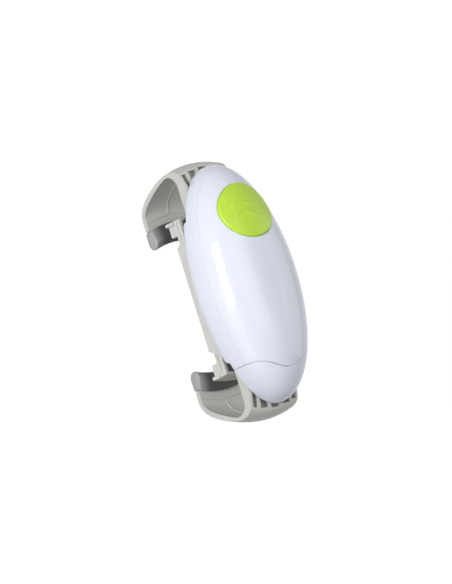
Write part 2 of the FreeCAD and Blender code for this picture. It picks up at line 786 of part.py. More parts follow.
def make_gear_bridge():
    """Small bracket above the first compound gear that holds its axle's top."""
    bottom = first_top + 2 * slide_gap
    top = bottom + 1.4
    parts = []
    for x, y in bridge_posts:
        parts.append(cylinder(post_diameter / 2, gear_deck_top, top, x, y))
        along = V(x - first_at.x, y - first_at.y, 0)
        length = along.Length
        bar = box(0, length, -2.4, 2.4, bottom, top)
        bar.rotate(V(0, 0, 0), V(0, 0, 1), math.degrees(math.atan2(along.y, along.x)))
        bar.translate(V(first_at.x, first_at.y, 0))
        parts.append(bar)
    parts.append(cylinder(3.2, bottom, top, first_at.x, first_at.y))
    bracket = fuse_all(parts)
    return bracket.cut(cylinder(axle_diameter / 2, bottom - 1, bottom + 0.8,
                                first_at.x, first_at.y))


def make_motor():
    """Small direct-current motor: flat-sided can, end boss, shaft and terminals."""
    can = cylinder(motor_diameter / 2, motor_bottom, motor_top, motor_at.x, motor_at.y)
    flats = box(motor_at.x - motor_diameter, motor_at.x + motor_diameter, -motor_flat / 2,
                motor_flat / 2, motor_bottom, motor_top)
    can = can.common(flats)
    can = can.makeFillet(1.0, [e for e in can.Edges if e.BoundBox.ZMin > motor_top - 0.01])
    boss = cylinder(3.0, motor_top - 0.5, motor_top + slide_gap * 0.8, motor_at.x, motor_at.y)
    shaft = cylinder(motor_shaft / 2, motor_top - 0.5, first_top + slide_gap,
                     motor_at.x, motor_at.y)
    tabs = [box(motor_at.x - 1.2, motor_at.x + 1.2, side * 6.0 - 0.25, side * 6.0 + 0.25,
                motor_top - 1.0, motor_top + 2.5) for side in (-1, 1)]
    return fuse_all([can, boss, shaft] + tabs)


# ---------------------------------------------------------------- jar arms and pads


def arm_curves():
    """Outer and inner curve of the hooked band at a side edge, as (x, z) splines."""
    outer_points = [
        V(arm_reach - shoulder_inset, 0, rim - shoulder_drop),
        V(arm_reach, 0, rim - waist_drop),
        V(arm_reach - thigh_inset, 0, lip_bottom + thigh_height),
        V(arm_reach - shin_inset, 0, lip_bottom + shin_height),
        V(arm_reach - heel_inset, 0, lip_bottom + heel_height),
        V(arm_reach - toe_inset, 0, lip_bottom),
    ]
    outer = Part.BSplineCurve()
    outer.interpolate(Points=outer_points, InitialTangent=V(0.75, 0, -0.66),
                      FinalTangent=V(-1, 0, 0))
    inner_points = []
    walls = (lip_wall, heel_wall, heel_wall, arm_wall, arm_wall)
    for point, wall in zip(reversed(outer_points[1:]), walls):
        along = outer.tangent(outer.parameter(point))[0]
        inner_points.append(point + V(along.z, 0, -along.x) * wall)
    inner_points.append(V(arm_reach - armpit_inset, 0, rim - armpit_drop))
    inner_points.append(V(arm_reach - pit_inset, 0, deck_bottom))
    inner = Part.BSplineCurve()
    inner.interpolate(Points=inner_points, InitialTangent=V(1, 0, 0),
                      FinalTangent=V(-1, 0, 0))
    return outer, inner


def bulge(y):
    """How far the band stands out beyond its side edges, by the distance from the middle."""
    return arm_bulge * (1 - (y / arm_half) ** 2)


def across(edges):
    """Solid whose section is the closed outline everywhere, shifted out by the bulge."""
    wires = []
    for y in (-arm_half, 0.0, arm_half):
        wire = Part.Wire(edges)
        wire.translate(V(bulge(y), y, 0))
        wires.append(wire)
    return Part.makeLoft(wires, True, False)


def polyline(points):
    """Straight edges through (x, z) points."""
    corners = [V(x, 0, z) for x, z in points]
    return [Part.makeLine(a, b) for a, b in zip(corners[:-1], corners[1:])]


def band_edges():
    """Closed outline of deck, shoulder and band."""
    outer, inner = arm_curves()
    first = outer.StartPoint
    toe = outer.EndPoint
    toe_in = inner.StartPoint
    pit = inner.EndPoint
    start = arm_inner_end - arm_bulge - 1
    edges = polyline([(start, arm_top), (arm_reach - shoulder_slope, arm_top),
                      (first.x, first.z)])
    edges.append(outer.toShape())
    edges += polyline([(toe.x, toe.z), (lip_end, toe.z), (lip_end, toe_in.z),
                       (toe_in.x, toe_in.z)])
    edges.append(inner.toShape())
    edges += polyline([(pit.x, pit.z), (start, pit.z), (start, arm_top)])
    return edges


def make_spine():
    """Low line moulded along the middle of the band's inside, and one across its lip."""
    _, inner = arm_curves()
    steps = 10
    first = inner.FirstParameter
    last = inner.LastParameter
    near = []
    far = []
    for k in range(steps + 1):
        at = first + (last - first) * k / steps
        along = inner.tangent(at)[0]
        normal = V(-along.z, 0, along.x)
        point = inner.value(at)
        near.append(point - normal * 0.4)
        far.append(point + normal * spine_height)
    low = Part.BSplineCurve()
    low.interpolate(near)
    high = Part.BSplineCurve()
    high.interpolate(far)
    edges = [low.toShape(), Part.makeLine(near[-1], far[-1]), high.toShape(),
             Part.makeLine(far[0], near[0])]
    line = Part.Face(Part.Wire(edges)).extrude(V(0, spine_width, 0))
    line.translate(V(arm_bulge, -spine_width / 2, 0))
    cross_x = arm_reach - toe_inset + lip_line_shift
    lip_line = across(polyline([(cross_x - spine_width, lip_top - 0.4),
                                (cross_x - spine_width, lip_top + spine_height),
                                (cross_x, lip_top + spine_height),
                                (cross_x, lip_top - 0.4),
                                (cross_x - spine_width, lip_top - 0.4)]))
    return [line, lip_line]


def make_jar_arm():
    """Jar arm of the battery end: band, lip, ribbed shoulder, sliding deck and rack."""
    arm = across(band_edges())
    arm = arm.cut(box(0, arm_inner_end, -arm_half - 1, arm_half + 1, 0, rim))
    side = arm_half - rib_thickness
    slot_half = (rib_pitch - rib_thickness) / 2
    for k in range(-2, 3):
        low = max(k * rib_pitch - slot_half, -side)
        high = min(k * rib_pitch + slot_half, side)
        end = arm_reach - pocket_inset + bulge(max(abs(low), abs(high)))
        arm = arm.cut(box(arm_inner_end - 1, end, low, high, deck_top, rim + 1))
    back = rack_pitch_radius + rack_back
    bar = rack(-rack_overrun, arm_inner_end + 2, back, jar_rack_bottom, jar_rack_top)
    plug = box(arm_inner_end, arm_inner_end + 14, rib_pitch - slot_half - 0.5,
               rib_pitch + slot_half + 0.5, deck_top - 0.5, jar_rack_top)
    arm = fuse_all([arm, bar, plug] + make_spine())
    lip_half = arm_half - lip_side_inset
    ends = mirrored_pair(box(0, pad_back + bulge(lip_half) + seat_gap, lip_half, arm_half + 1,
                             0, pad_height))
    return arm.cut(ends)


def make_jar_pad():
    """Rubber pad moulded round an arm's lip, with a hollowed grip edge."""
    nose_mid = pad_height * 0.48
    nose_back = pad_nose + 5.6
    slot = seat_gap
    edges = polyline([(pad_back, lip_bottom - slot), (pad_back, pad_back_height),
                      (nose_back, pad_height)])
    nose = Part.Arc(V(nose_back, 0, pad_height), V(pad_nose, 0, nose_mid), V(nose_back, 0, 0))
    edges.append(nose.toShape())
    edges += polyline([(nose_back, 0), (nose_back, -1), (pad_back - 1.5, -1),
                       (pad_back, lip_bottom - slot)])
    pad = across(edges).cut(box(0, arm_reach, -arm_half - 1, arm_half + 1, -2, 0))
    groove = across(polyline([(lip_end - slot, lip_bottom - slot),
                              (pad_back + 1, lip_bottom - slot), (pad_back + 1, lip_top + slot),
                              (lip_end - slot, lip_top + slot),
                              (lip_end - slot, lip_bottom - slot)]))
    lip_half = arm_half - lip_side_inset + slot
    return pad.cut(groove.common(box(0, arm_reach, -lip_half, lip_half, 0, pad_height)))


def make_jar_pinion():
    """Pinion between the two jar racks, turning freely on the spindle."""
    bore = spindle_diameter / 2 + running_gap
    return gear(rack_pinion_teeth, rack_module, jar_rack_bottom - slide_gap + 0.1,
                jar_rack_top - slide_gap, turn=90.0, bore=bore)


# ---------------------------------------------------------------- lid carrier and jaws


def make_lid_carrier():
    """Turning channel with bevelled ends, open below between two inward lips."""
    half = carrier_length / 2
    bevel_z = carrier_bottom + carrier_height * 0.85
    side = [(-half, carrier_top), (half, carrier_top), (half, bevel_z),
            (half - carrier_bevel_run, carrier_bottom),
            (-half + carrier_bevel_run, carrier_bottom), (-half, bevel_z)]
    body = side_prism(side, -carrier_half, carrier_half)
    inner = carrier_half - carrier_wall
    body = body.cut(box(-half - 1, half + 1, -inner, inner,
                        carrier_bottom + carrier_base_thickness, carrier_roof))
    opening = carrier_half - carrier_lip
    body = body.cut(box(-half - 1, half + 1, -opening, opening, carrier_bottom - 1,
                        carrier_bottom + carrier_base_thickness + 1))
    flats = cylinder(spindle_diameter / 2 + 0.03, carrier_roof - 1, carrier_top + 1)
    flats = flats.common(box(-drive_flats / 2 - 0.03, drive_flats / 2 + 0.03, -10, 10,
                             carrier_roof - 1, carrier_top + 1))
    return body.cut(flats)


def make_carrier_base():
    """Bridge plate across the channel's lips that holds the spindle's lower end."""
    half = carrier_base_length / 2
    edge = carrier_half - carrier_lip - 0.05
    plate = box(-half, half, -edge, edge, carrier_bottom, carrier_bottom + carrier_base_thickness)
    plate = plate.makeFillet(3.0, [e for e in plate.Edges if abs(e.tangentAt(0).z) > 0.9])
    return plate.cut(cylinder(journal_diameter / 2 + running_gap, 0, rim))


def arc_region(radius, centre_x, z0, z1):
    """Upright disc used to shape the jaws in plan."""
    return cylinder(radius, z0, z1, centre_x, 0)


def make_lid_jaw():
    """Lid jaw of the battery end: sliding tray, curved end wall, finger and rack."""
    centre = jaw_reach - jaw_radius
    outer = arc_region(jaw_radius, centre, finger_bottom, jaw_top)
    inner = arc_region(jaw_radius - jaw_wall, centre, finger_bottom - 1, jaw_top + 1)
    block = box(jaw_inner_end, jaw_reach + 1, -jaw_half, jaw_half, jaw_bottom, jaw_top)
    tray = block.common(outer)
    hollow = box(jaw_inner_end - 1, jaw_reach + 1, -jaw_half + jaw_wall, jaw_half - jaw_wall,
                 jaw_floor_top, jaw_top + 1).common(inner)
    tray = tray.cut(hollow)
    wall = outer.cut(inner)
    front = jaw_reach - jaw_wall - 6
    finger_half = finger_width / 2
    finger = wall.common(box(front, jaw_reach + 1, -finger_half, finger_half,
                             finger_bottom, carrier_bottom - slide_gap))
    neck = wall.common(box(front, jaw_reach + 1, -neck_half, neck_half,
                           carrier_bottom - slide_gap - 0.5, jaw_bottom + 0.5))
    back = rack_pitch_radius + rack_back
    bar = rack(-rack_overrun, jaw_reach - jaw_wall - 6, back, lid_rack_bottom, lid_rack_top)
    foot = box(jaw_inner_end + jaw_notch, jaw_reach - jaw_wall - 6,
               rack_pitch_radius + 1.2, back, jaw_floor_top - 0.5, lid_rack_bottom + 0.5)
    jaw = fuse_all([tray, finger, neck, bar, foot])
    clear = rack_pitch_radius + rack_back + 0.6
    notch = box(jaw_inner_end - 1, jaw_inner_end + jaw_notch, -clear, clear,
                jaw_bottom - 1, lid_rack_bottom - 0.02)
    jaw = jaw.cut(notch)
    jaw = jaw.cut(mirrored_pair(box(jaw_inner_end + 4, jaw_reach - 5, jaw_half - jaw_web,
                                    jaw_half + 1, jaw_bottom + jaw_foot, jaw_top - 1.2)))
    window = box(front, jaw_reach + 1, -back - slide_gap,
                 -(rack_pitch_radius - addendum_share * rack_module) + slide_gap,
                 lid_rack_bottom - slide_gap, jaw_top + 1)
    return jaw.cut(window).removeSplitter()


def make_lid_pad():
    """Rubber pad on the inside of a finger, hollowed to the curve of a lid."""
    centre = jaw_reach - jaw_radius
    z0 = finger_bottom + 0.8
    z1 = min(z0 + lid_pad_height, carrier_bottom - slide_gap)
    half = lid_pad_width / 2
    seat = arc_region(jaw_radius - jaw_wall - seat_gap / 2, centre, z0, z1)
    grip = arc_region(lid_pad_radius, lid_pad_face - lid_pad_radius, z0 - 1, z1 + 1)
    pad = seat.common(box(jaw_inner_end, jaw_reach, -half, half, z0, z1)).cut(grip)
    upright = [e for e in pad.Edges if abs(abs(e.tangentAt(e.FirstParameter).z) - 1) < 0.01]
    inner = [e for e in upright if e.BoundBox.XMax < lid_pad_face]
    return pad.makeFillet(1.0, inner)


def make_lid_pinion():
    """Pinion between the two lid racks, turning freely on the spindle's journal."""
    bore = journal_diameter / 2 + running_gap
    return gear(rack_pinion_teeth, rack_module, lid_rack_bottom - slide_gap + 0.1,
                lid_rack_top - 0.1, turn=90.0, bore=bore)


def make_spindle():
    """Stepped spindle: top journal, drive flats, bearing length and lower journal."""
    radius = spindle_diameter / 2
    shaft = cylinder(radius, carrier_roof, output_top + slide_gap)
    flats = radius - drive_flats / 2
    for z0, z1 in ((output_bottom - slide_gap, output_top + slide_gap + 1),
                   (carrier_roof - 1, carrier_top)):
        for x0, x1 in ((-radius - 1, -radius + flats), (radius - flats, radius + 1)):
            shaft = shaft.cut(box(x0, x1, -radius - 1, radius + 1, z0, z1))
    top = cylinder(radius - 0.5, output_top, gear_deck_top - 0.1)
    journal = cylinder(journal_diameter / 2, carrier_bottom, carrier_roof + 0.5)
    return fuse_all([shaft, top, journal])


def make_spindle_screw():
    """Washer-headed screw under the carrier that keeps the spindle in place."""
    head = cylinder(journal_diameter / 2 + 1.8, carrier_bottom - 1.2, carrier_bottom - 0.02)
    head = head.makeFillet(0.6, [e for e in head.Edges if e.BoundBox.ZMax < carrier_bottom - 1.1])
    cross = fuse_all([box(-2.0, 2.0, -0.4, 0.4, 0, carrier_bottom - 0.7),
                      box(-0.4, 0.4, -2.0, 2.0, 0, carrier_bottom - 0.7)])
    return head.cut(cross)


def make_thrust_washer():
    """Washer between the bush and the output gear."""
    radius = spindle_diameter / 2
    return tube(radius + 2.4, radius + running_gap, chassis_top + 0.02,
                chassis_top + washer_thickness)


# ---------------------------------------------------------------- cells and contacts


def make_cell(side):
    """AA cell lying along the tool; the two cells point opposite ways."""
    y = side * cell_pitch / 2
    axis = V(1, 0, 0)
    body_x = cell_x if side > 0 else cell_x + cell_nub
    body = Part.makeCylinder(cell_diameter / 2, cell_length, V(body_x, y, cell_z), axis)
    body = body.makeFillet(0.6, [e for e in body.Edges if e.Closed])
    nub_x = cell_x + cell_length - 0.2 if side > 0 else cell_x
    nub = Part.makeCylinder(2.7, cell_nub + 0.2, V(nub_x, y, cell_z), axis)
    return body.fuse(nub)


def make_tray_contacts():
    """Two contact plates on the tray's end wall."""
    x1 = cell_x - 0.02
    x0 = x1 - contact_thickness
    plates = [box(x0, x1, side * cell_pitch / 2 - 4.5, side * cell_pitch / 2 + 4.5,
                  cell_z - 5.0, cell_z + 4.0) for side in (-1, 1)]
    return Part.makeCompound(plates)


def make_door_contact():
    """Sprung bridge inside the door that joins the cells' outer ends."""
    x0 = cell_end + 0.1
    lower = chassis_top + 1.0
    plate = box(x0, x0 + contact_thickness, -cell_pitch / 2 - 4.0, cell_pitch / 2 + 4.0,
                lower, cell_z + 4.0)
    stay = box(x0, door_contact_end(), -3.0, 3.0, cell_z - 0.6, cell_z + 0.6)
    return plate.fuse(stay).removeSplitter()


def door_contact_end():
    """Where the contact's stay meets the inside of the door's end."""
    rho = (1 - ((cell_z + 0.6 - rim) / (crown_height - shell_wall)) ** crown_power)
    rho = max(0.0, rho) ** (1 / crown_power)
    return (half_length - shell_wall) * rho - 0.6


# ---------------------------------------------------------------- writing the pieces


def write(name, shape):
    """Writes one piece as a STEP file named after it."""
    shape.exportStep(os.path.join("parts", name + ".step"))
    solids = len(shape.Solids)
    print("%-22s solids %d  volume %9.1f  valid %s" % (name, solids, shape.Volume, shape.isValid()))


def main():
    """Builds every piece and writes it."""
    os.makedirs("parts", exist_ok=True)
    output, second, first, motor_pinion = make_train()
    jar_arm = make_jar_arm()
    jar_pad = make_jar_pad()
    lid_jaw = make_lid_jaw()
    lid_pad = make_lid_pad()
    pieces = {
        "top_cover": make_top_cover(),
        "lower_housing": make_lower_housing(),
        "battery_door": make_battery_door(),
        "door_contact": make_door_contact(),
        "button": make_button(),
        "button_spring": make_button_spring(),
        "button_bridge": make_button_bridge(),
        "circuit_board": make_circuit_board(),
        "switch_body": make_switch(),
        "switch_plunger": make_switch_plunger(),
        "chassis": make_chassis(),
        "base_plate": make_base_plate(),
        "cover_screws": make_cover_screws(),
        "base_screws": make_base_screws(),
        "spindle_bush": make_spindle_bush(),
        "motor": make_motor(),
        "motor_pinion": motor_pinion,
        "first_gear": first,
        "second_gear": second,
        "gear_axles": make_axles(),
        "gear_deck": make_gear_deck(),
        "gear_bridge": make_gear_bridge(),
        "output_gear": output,
        "thrust_washer": make_thrust_washer(),
        "spindle": make_spindle(),
        "spindle_screw": make_spindle_screw(),
        "jar_pinion": make_jar_pinion(),
        "jar_arm_door_end": jar_arm,
        "jar_arm_button_end": turned(jar_arm),
        "jar_pad_door_end": jar_pad,
        "jar_pad_button_end": turned(jar_pad),
        "lid_carrier": make_lid_carrier(),
        "carrier_base": make_carrier_base(),
        "lid_jaw_door_end": lid_jaw,
        "lid_jaw_button_end": turned(lid_jaw),
        "lid_pad_door_end": lid_pad,
        "lid_pad_button_end": turned(lid_pad),
        "lid_pinion": make_lid_pinion(),
        "cell_left": make_cell(1),
        "cell_right": make_cell(-1),
        "tray_contacts": make_tray_contacts(),
    }
    for name, shape in pieces.items():
        write(name, shape)


main()
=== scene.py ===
"""Dressed model of an electric jar opener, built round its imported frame.

Sizes in the classes are in millimetres, in the frame of the part: X along the housing
towards the battery door, Y across it, Z up from the surface the tool stands on.
"""
from __future__ import annotations

import json
import logging
import math
from collections.abc import Callable, Sequence
from dataclasses import dataclass, field
from enum import Enum

import bmesh
import bpy
import numpy as np
from mathutils import Matrix, Vector

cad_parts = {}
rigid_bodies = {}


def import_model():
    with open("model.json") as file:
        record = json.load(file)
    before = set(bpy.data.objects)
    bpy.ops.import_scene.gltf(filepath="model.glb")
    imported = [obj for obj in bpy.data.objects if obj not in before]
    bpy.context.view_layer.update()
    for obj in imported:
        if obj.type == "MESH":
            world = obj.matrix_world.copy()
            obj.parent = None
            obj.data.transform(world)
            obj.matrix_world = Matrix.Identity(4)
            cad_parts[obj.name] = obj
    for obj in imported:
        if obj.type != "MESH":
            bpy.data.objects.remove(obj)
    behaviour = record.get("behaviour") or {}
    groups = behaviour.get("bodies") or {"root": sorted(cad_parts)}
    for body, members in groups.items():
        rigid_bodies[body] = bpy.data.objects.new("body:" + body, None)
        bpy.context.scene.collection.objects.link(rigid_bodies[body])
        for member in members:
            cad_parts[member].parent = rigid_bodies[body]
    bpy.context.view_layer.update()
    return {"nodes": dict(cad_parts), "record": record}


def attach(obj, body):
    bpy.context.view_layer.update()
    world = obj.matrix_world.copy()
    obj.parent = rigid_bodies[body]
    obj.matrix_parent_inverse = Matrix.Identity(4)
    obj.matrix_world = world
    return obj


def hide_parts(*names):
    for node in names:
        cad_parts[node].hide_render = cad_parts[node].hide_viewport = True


MM = 0.001
LOG = logging.getLogger("jar_opener")
Colour = tuple[float, float, float]
Place = tuple[float, float, float]
Corner = tuple[float, float]

MERGE_DISTANCE = 2e-6  # points closer than this become one, in metres
SLIVER_LENGTH = 1e-7  # edges shorter than this are dropped, in metres
TINY = 1e-12  # taken for nothing
LINE_SAMPLES = 320  # places at which a line's length is measured
EDGE_SHARE = 0.3  # largest share of a line that one edge may take
ROUNDED_SEGMENTS = 2  # faces across an edge that is rounded by a bevel

# ------------------------------------------------------------------ named options


class End(Enum):
    """The two ends of the tool, with the sign of their X direction."""

    DOOR = 1
    BUTTON = -1

    @property
    def suffix(self) -> str:
        """Last part of the names of that end's nodes and bodies."""
        return "door_end" if self is End.DOOR else "button_end"


class Ends(Enum):
    """How the open sides of a surface strip are closed when it gets its thickness."""

    JOINED = "the last line meets the first"
    CAPPED = "each side gets a rounded edge and a flat face"
    PINCHED = "the lines shrink to a point at each side"


# ------------------------------------------------------------------ mesh making


def unit(vectors: np.ndarray) -> np.ndarray:
    """Vectors of length one; a vector of no length stays as it is."""
    length = np.linalg.norm(vectors, axis=-1, keepdims=True)
    return vectors / np.maximum(length, TINY)


def ringed(count: int) -> np.ndarray:
    """Angles evenly spaced over a full turn."""
    return np.linspace(0, 2 * math.pi, count, endpoint=False)


class Blank:
    """Points and faces of one piece while it is being made, in millimetres."""

    def __init__(self) -> None:
        """Starts an empty piece."""
        self.points: list[np.ndarray] = []
        self.faces: list[tuple[int, ...]] = []
        self.count = 0

    def add(self, points: np.ndarray, faces: Sequence[Sequence[int]]) -> None:
        """Adds one closed part.

        Args:
            points: The part's points.
            faces: Its faces, by the places of their corners in points.
        """
        flat = np.asarray(points, float).reshape(-1, 3)
        self.points.append(flat)
        self.faces.extend(tuple(i + self.count for i in face) for face in faces)
        self.count += len(flat)

    def add_loops(self, loops: np.ndarray, ends: Ends) -> None:
        """Adds a closed part from loops of points that follow one another.

        Args:
            loops: Points by loop and by place in the loop.
            ends: How the first and the last loop are closed.
        """
        count, around = loops.shape[:2]
        span = count if ends is Ends.JOINED else count - 1
        faces: list[Sequence[int]] = []
        for i in range(span):
            here, there = i * around, (i + 1) % count * around
            for j in range(around):
                k = (j + 1) % around
                faces.append((here + j, here + k, there + k, there + j))
        if ends is Ends.CAPPED:
            faces.append(tuple(range(around)))
            faces.append(tuple(range((count - 1) * around, count * around)))
        self.add(loops, faces)

    def add_tube(self, outer: float, inner: float, low: float, high: float,
                 sides: int = 64, place: Matrix | None = None) -> None:
        """Adds an upright tube, or a rod where inner is 0.

        Args:
            outer: Outer radius.
            inner: Radius of the bore.
            low: Height of the lower face.
            high: Height of the upper face.
            sides: Number of sides.
            place: Where the upright tube is moved to, if anywhere.
        """
        angle = ringed(sides)
        levels = [(outer, low), (outer, high)]
        if inner > 0:
            levels = [(inner, low), *levels, (inner, high)]
        loops = np.array([np.column_stack([radius * np.cos(angle), radius * np.sin(angle),
                                           np.full(sides, z)]) for radius, z in levels])
        if place is not None:
            flat = np.column_stack([loops.reshape(-1, 3), np.ones(loops.shape[0] * sides)])
            loops = (flat @ np.array(place, float).T)[:, :3].reshape(loops.shape)
        self.add_loops(loops, Ends.CAPPED if inner == 0 else Ends.JOINED)

    def add_prism(self, outline: Sequence[Corner], low: float, high: float) -> None:
        """Adds an upright prism over a plan outline."""
        loops = np.array([[(x, y, z) for x, y in outline] for z in (low, high)], float)
        self.add_loops(loops, Ends.CAPPED)

    def piece(self, name: str, crease: float = 35.0) -> bpy.types.Object:
        """Makes the mesh object.

        Args:
            name: Name of the piece.
            crease: Edges that turn by more than this many degrees stay sharp.

        Returns:
            The new object, in metres, in the scene's collection.
        """
        mesh = bpy.data.meshes.new(name)
        mesh.from_pydata(np.vstack(self.points) * MM, [], self.faces)
        work = bmesh.new()
        work.from_mesh(mesh)
        bmesh.ops.remove_doubles(work, verts=work.verts, dist=MERGE_DISTANCE)
        bmesh.ops.dissolve_degenerate(work, edges=work.edges, dist=SLIVER_LENGTH)
        bmesh.ops.recalc_face_normals(work, faces=work.faces)
        work.to_mesh(mesh)
        work.free()
        mesh.polygons.foreach_set("use_smooth", [True] * len(mesh.polygons))
        mesh.set_sharp_from_angle(angle=math.radians(crease))
        made = bpy.data.objects.new(name, mesh)
        bpy.context.scene.collection.objects.link(made)
        return made


def round_edges(piece: bpy.types.Object, width: float, segments: int = 3,
                angle: float = 40.0) -> None:
    """Rounds a piece's sharp edges.

    Args:
        piece: The piece.
        width: Width of the rounding, in millimetres.
        segments: Number of faces across it.
        angle: Edges that turn by less than this many degrees are left.
    """
    bevel = piece.modifiers.new("rounded_edges", "BEVEL")
    bevel.width = width * MM
    bevel.segments = segments
    bevel.limit_method = "ANGLE"
    bevel.angle_limit = math.radians(angle)
    bevel.harden_normals = True
    bevel.use_clamp_overlap = True


def lengths_along(points: np.ndarray) -> np.ndarray:
    """Length of a line from its first point to each of its points."""
    return np.concatenate([[0.0], np.cumsum(np.linalg.norm(np.diff(points, axis=0), axis=1))])


def filled_in(points: Sequence[np.ndarray] | Sequence[float], step: float) -> np.ndarray:
    """Adds points where those that follow one another are far apart.

    Args:
        points: The points, or plain numbers.
        step: Longest step that is left.

    Returns:
        The points with the added ones between them.
    """
    filled = [points[0]]
    for point in points[1:]:
        last, gap = filled[-1], point - filled[-1]
        pieces = max(1, math.ceil(np.linalg.norm(gap) / step))
        filled += [last + gap * (k + 1) / pieces for k in range(pieces)]
    return np.array(filled)


def furthest_inside(inside: Callable[[np.ndarray], np.ndarray], low: np.ndarray,
                    high: np.ndarray, halvings: int) -> np.ndarray:
    """Finds by halving how far one can go and still be inside.

    Args:
        inside: Tells for distances whether they are inside.
        low: Distances that are inside.
        high: Distances that are outside.
        halvings: How often the space between them is halved.

    Returns:
        The furthest distances that are known to be inside.
    """
    for _ in range(halvings):
        middle = (low + high) / 2
        within = inside(middle)
        low, high = np.where(within, middle, low), np.where(within, high, middle)
    return low


def spaced(curve: Callable[[np.ndarray], np.ndarray], rows: int, edge: float) -> np.ndarray:
    """Points along a line on a surface, with one short step at each end.

    Args:
        curve: Gives the points at shares 0 to 1 of the line.
        rows: Number of points.
        edge: Length of the first and the last step, which sets the edge's rounding.

    Returns:
        The points, evenly spaced between the two short steps.
    """
    shares = np.linspace(0, 1, LINE_SAMPLES)
    fine = curve(shares)
    along = lengths_along(fine)
    total = along[-1]
    step = min(edge, total * EDGE_SHARE)
    wanted = np.concatenate([[0.0], np.linspace(step, total - step, rows - 2), [total]])
    return curve(np.interp(wanted, along, shares))


def shelled(surface: np.ndarray, normals: np.ndarray, wall: float, ends: Ends,
            steps: int = 4) -> np.ndarray:
    """Gives a surface strip its thickness and rounded edges.

    Args:
        surface: Points by line and by place along the line.
        normals: Unit normals at those points, pointing out.
        wall: Thickness, measured inwards.
        ends: How the two sides of the strip are closed.
        steps: Number of faces across a rounded edge.

    Returns:
        Closed loops of points for Blank.add_loops.
    """
    angles = [math.pi / 2 * k / steps for k in range(1, steps + 1)]

    def rolled(first: np.ndarray, second: np.ndarray, normal: np.ndarray,
               depth: np.ndarray) -> list[np.ndarray]:
        """Turns the surface's edge inwards.

        Args:
            first: Row of points on the edge.
            second: The row next to it.
            normal: Unit normals on the edge.
            depth: How far each point already lies below the surface.

        Returns:
            The rows across the rounded edge, from the surface inwards.
        """
        lead = first - second
        lead = lead - normal * np.sum(lead * normal, axis=-1, keepdims=True)
        radius = np.linalg.norm(lead, axis=-1, keepdims=True)
        lead = unit(lead)
        rows = []
        for angle in angles:
            sunk = np.maximum(depth, radius * (1 - math.cos(angle)))
            rows.append(first - lead * radius * (1 - math.sin(angle)) - normal * sunk)
        return rows

    flat = np.zeros(surface.shape[:1] + (1,))
    start = rolled(surface[:, 0], surface[:, 1], normals[:, 0], flat)
    finish = rolled(surface[:, -1], surface[:, -2], normals[:, -1], flat)
    inner = surface - normals * wall
    rows = [surface[:, j] for j in range(1, surface.shape[1] - 1)] + finish
    rows += [inner[:, j] for j in range(surface.shape[1] - 1, -1, -1)] + start[::-1]
    loops = np.stack(rows, axis=1)
    if ends is not Ends.CAPPED:
        return loops
    normal_rows = [normals[:, j] for j in range(1, surface.shape[1] - 1)]
    normal_rows += [normals[:, -1]] * steps
    normal_rows += [normals[:, j] for j in range(surface.shape[1] - 1, -1, -1)]
    normal_rows += [normals[:, 0]] * steps
    facing = np.stack(normal_rows, axis=1)
    depth = np.zeros(loops.shape[1])
    depth[surface.shape[1] - 2 + steps:-steps] = wall
    depth = depth[:, None]
    raised = loops + facing * depth
    head = rolled(raised[0], raised[1], facing[0], depth)
    tail = rolled(raised[-1], raised[-2], facing[-1], depth)
    return np.concatenate([np.array(head[::-1]), loops[1:-1], np.array(tail)])


def smooth_line(knots: Sequence[Corner], start: Corner, finish: Corner,
                count: int) -> np.ndarray:
    """Smooth plane curve through knots with given directions at its ends.

    Args:
        knots: Points that the curve passes.
        start: Direction at the first knot.
        finish: Direction at the last knot.
        count: Number of points wanted.

    Returns:
        The points, then the unit directions there, side by side in four columns.
    """
    places = np.array(knots, float)
    steps = np.linalg.norm(np.diff(places, axis=0), axis=1)
    slopes = np.diff(places, axis=0) / steps[:, None]
    size = len(places)
    system = np.eye(size)
    wanted = np.zeros((size, 2))
    wanted[0] = unit(np.array(start, float))
    wanted[-1] = unit(np.array(finish, float))
    for i in range(1, size - 1):
        system[i, i - 1:i + 2] = steps[i], 2 * (steps[i - 1] + steps[i]), steps[i - 1]
        wanted[i] = 3 * (steps[i] * slopes[i - 1] + steps[i - 1] * slopes[i])
    speeds = np.linalg.solve(system, wanted)
    along = np.concatenate([[0.0], np.cumsum(steps)])
    out = np.zeros((count, 4))
    for row, at in enumerate(np.linspace(0, along[-1], count)):
        i = min(int(np.searchsorted(along, at, side="right")) - 1, size - 2)
        s, h = (at - along[i]) / steps[i], steps[i]
        here, there = places[i], places[i + 1]
        out[row, :2] = ((1 + 2 * s) * (1 - s) ** 2 * here + s * (1 - s) ** 2 * h * speeds[i]
                        + s * s * (3 - 2 * s) * there + s * s * (s - 1) * h * speeds[i + 1])
        out[row, 2:] = (6 * s * (s - 1) * (here - there) / h
                        + (1 - 4 * s + 3 * s * s) * speeds[i]
                        + (3 * s * s - 2 * s) * speeds[i + 1])
    out[:, 2:] = unit(out[:, 2:])
    return out


# ------------------------------------------------------------------ shared shading groups


class NodeBoard:
    """A node tree while it is being wired."""

    def __init__(self, tree: bpy.types.NodeTree) -> None:
        """Takes the tree that the nodes go into."""
        self.tree = tree

    def node(self, kind: str, **settings: object) -> bpy.types.Node:
        """Adds a node.

        Args:
            kind: Blender's name for that type of node.
            settings: Properties of the node, by name.

        Returns:
            The new node.
        """
        made = self.tree.nodes.new(kind)
        for key, value in settings.items():
            setattr(made, key, value)
        return made

    def join(self, source: bpy.types.NodeSocket, target: bpy.types.NodeSocket) -> None:
        """Joins two sockets."""
        self.tree.links.new(source, target)


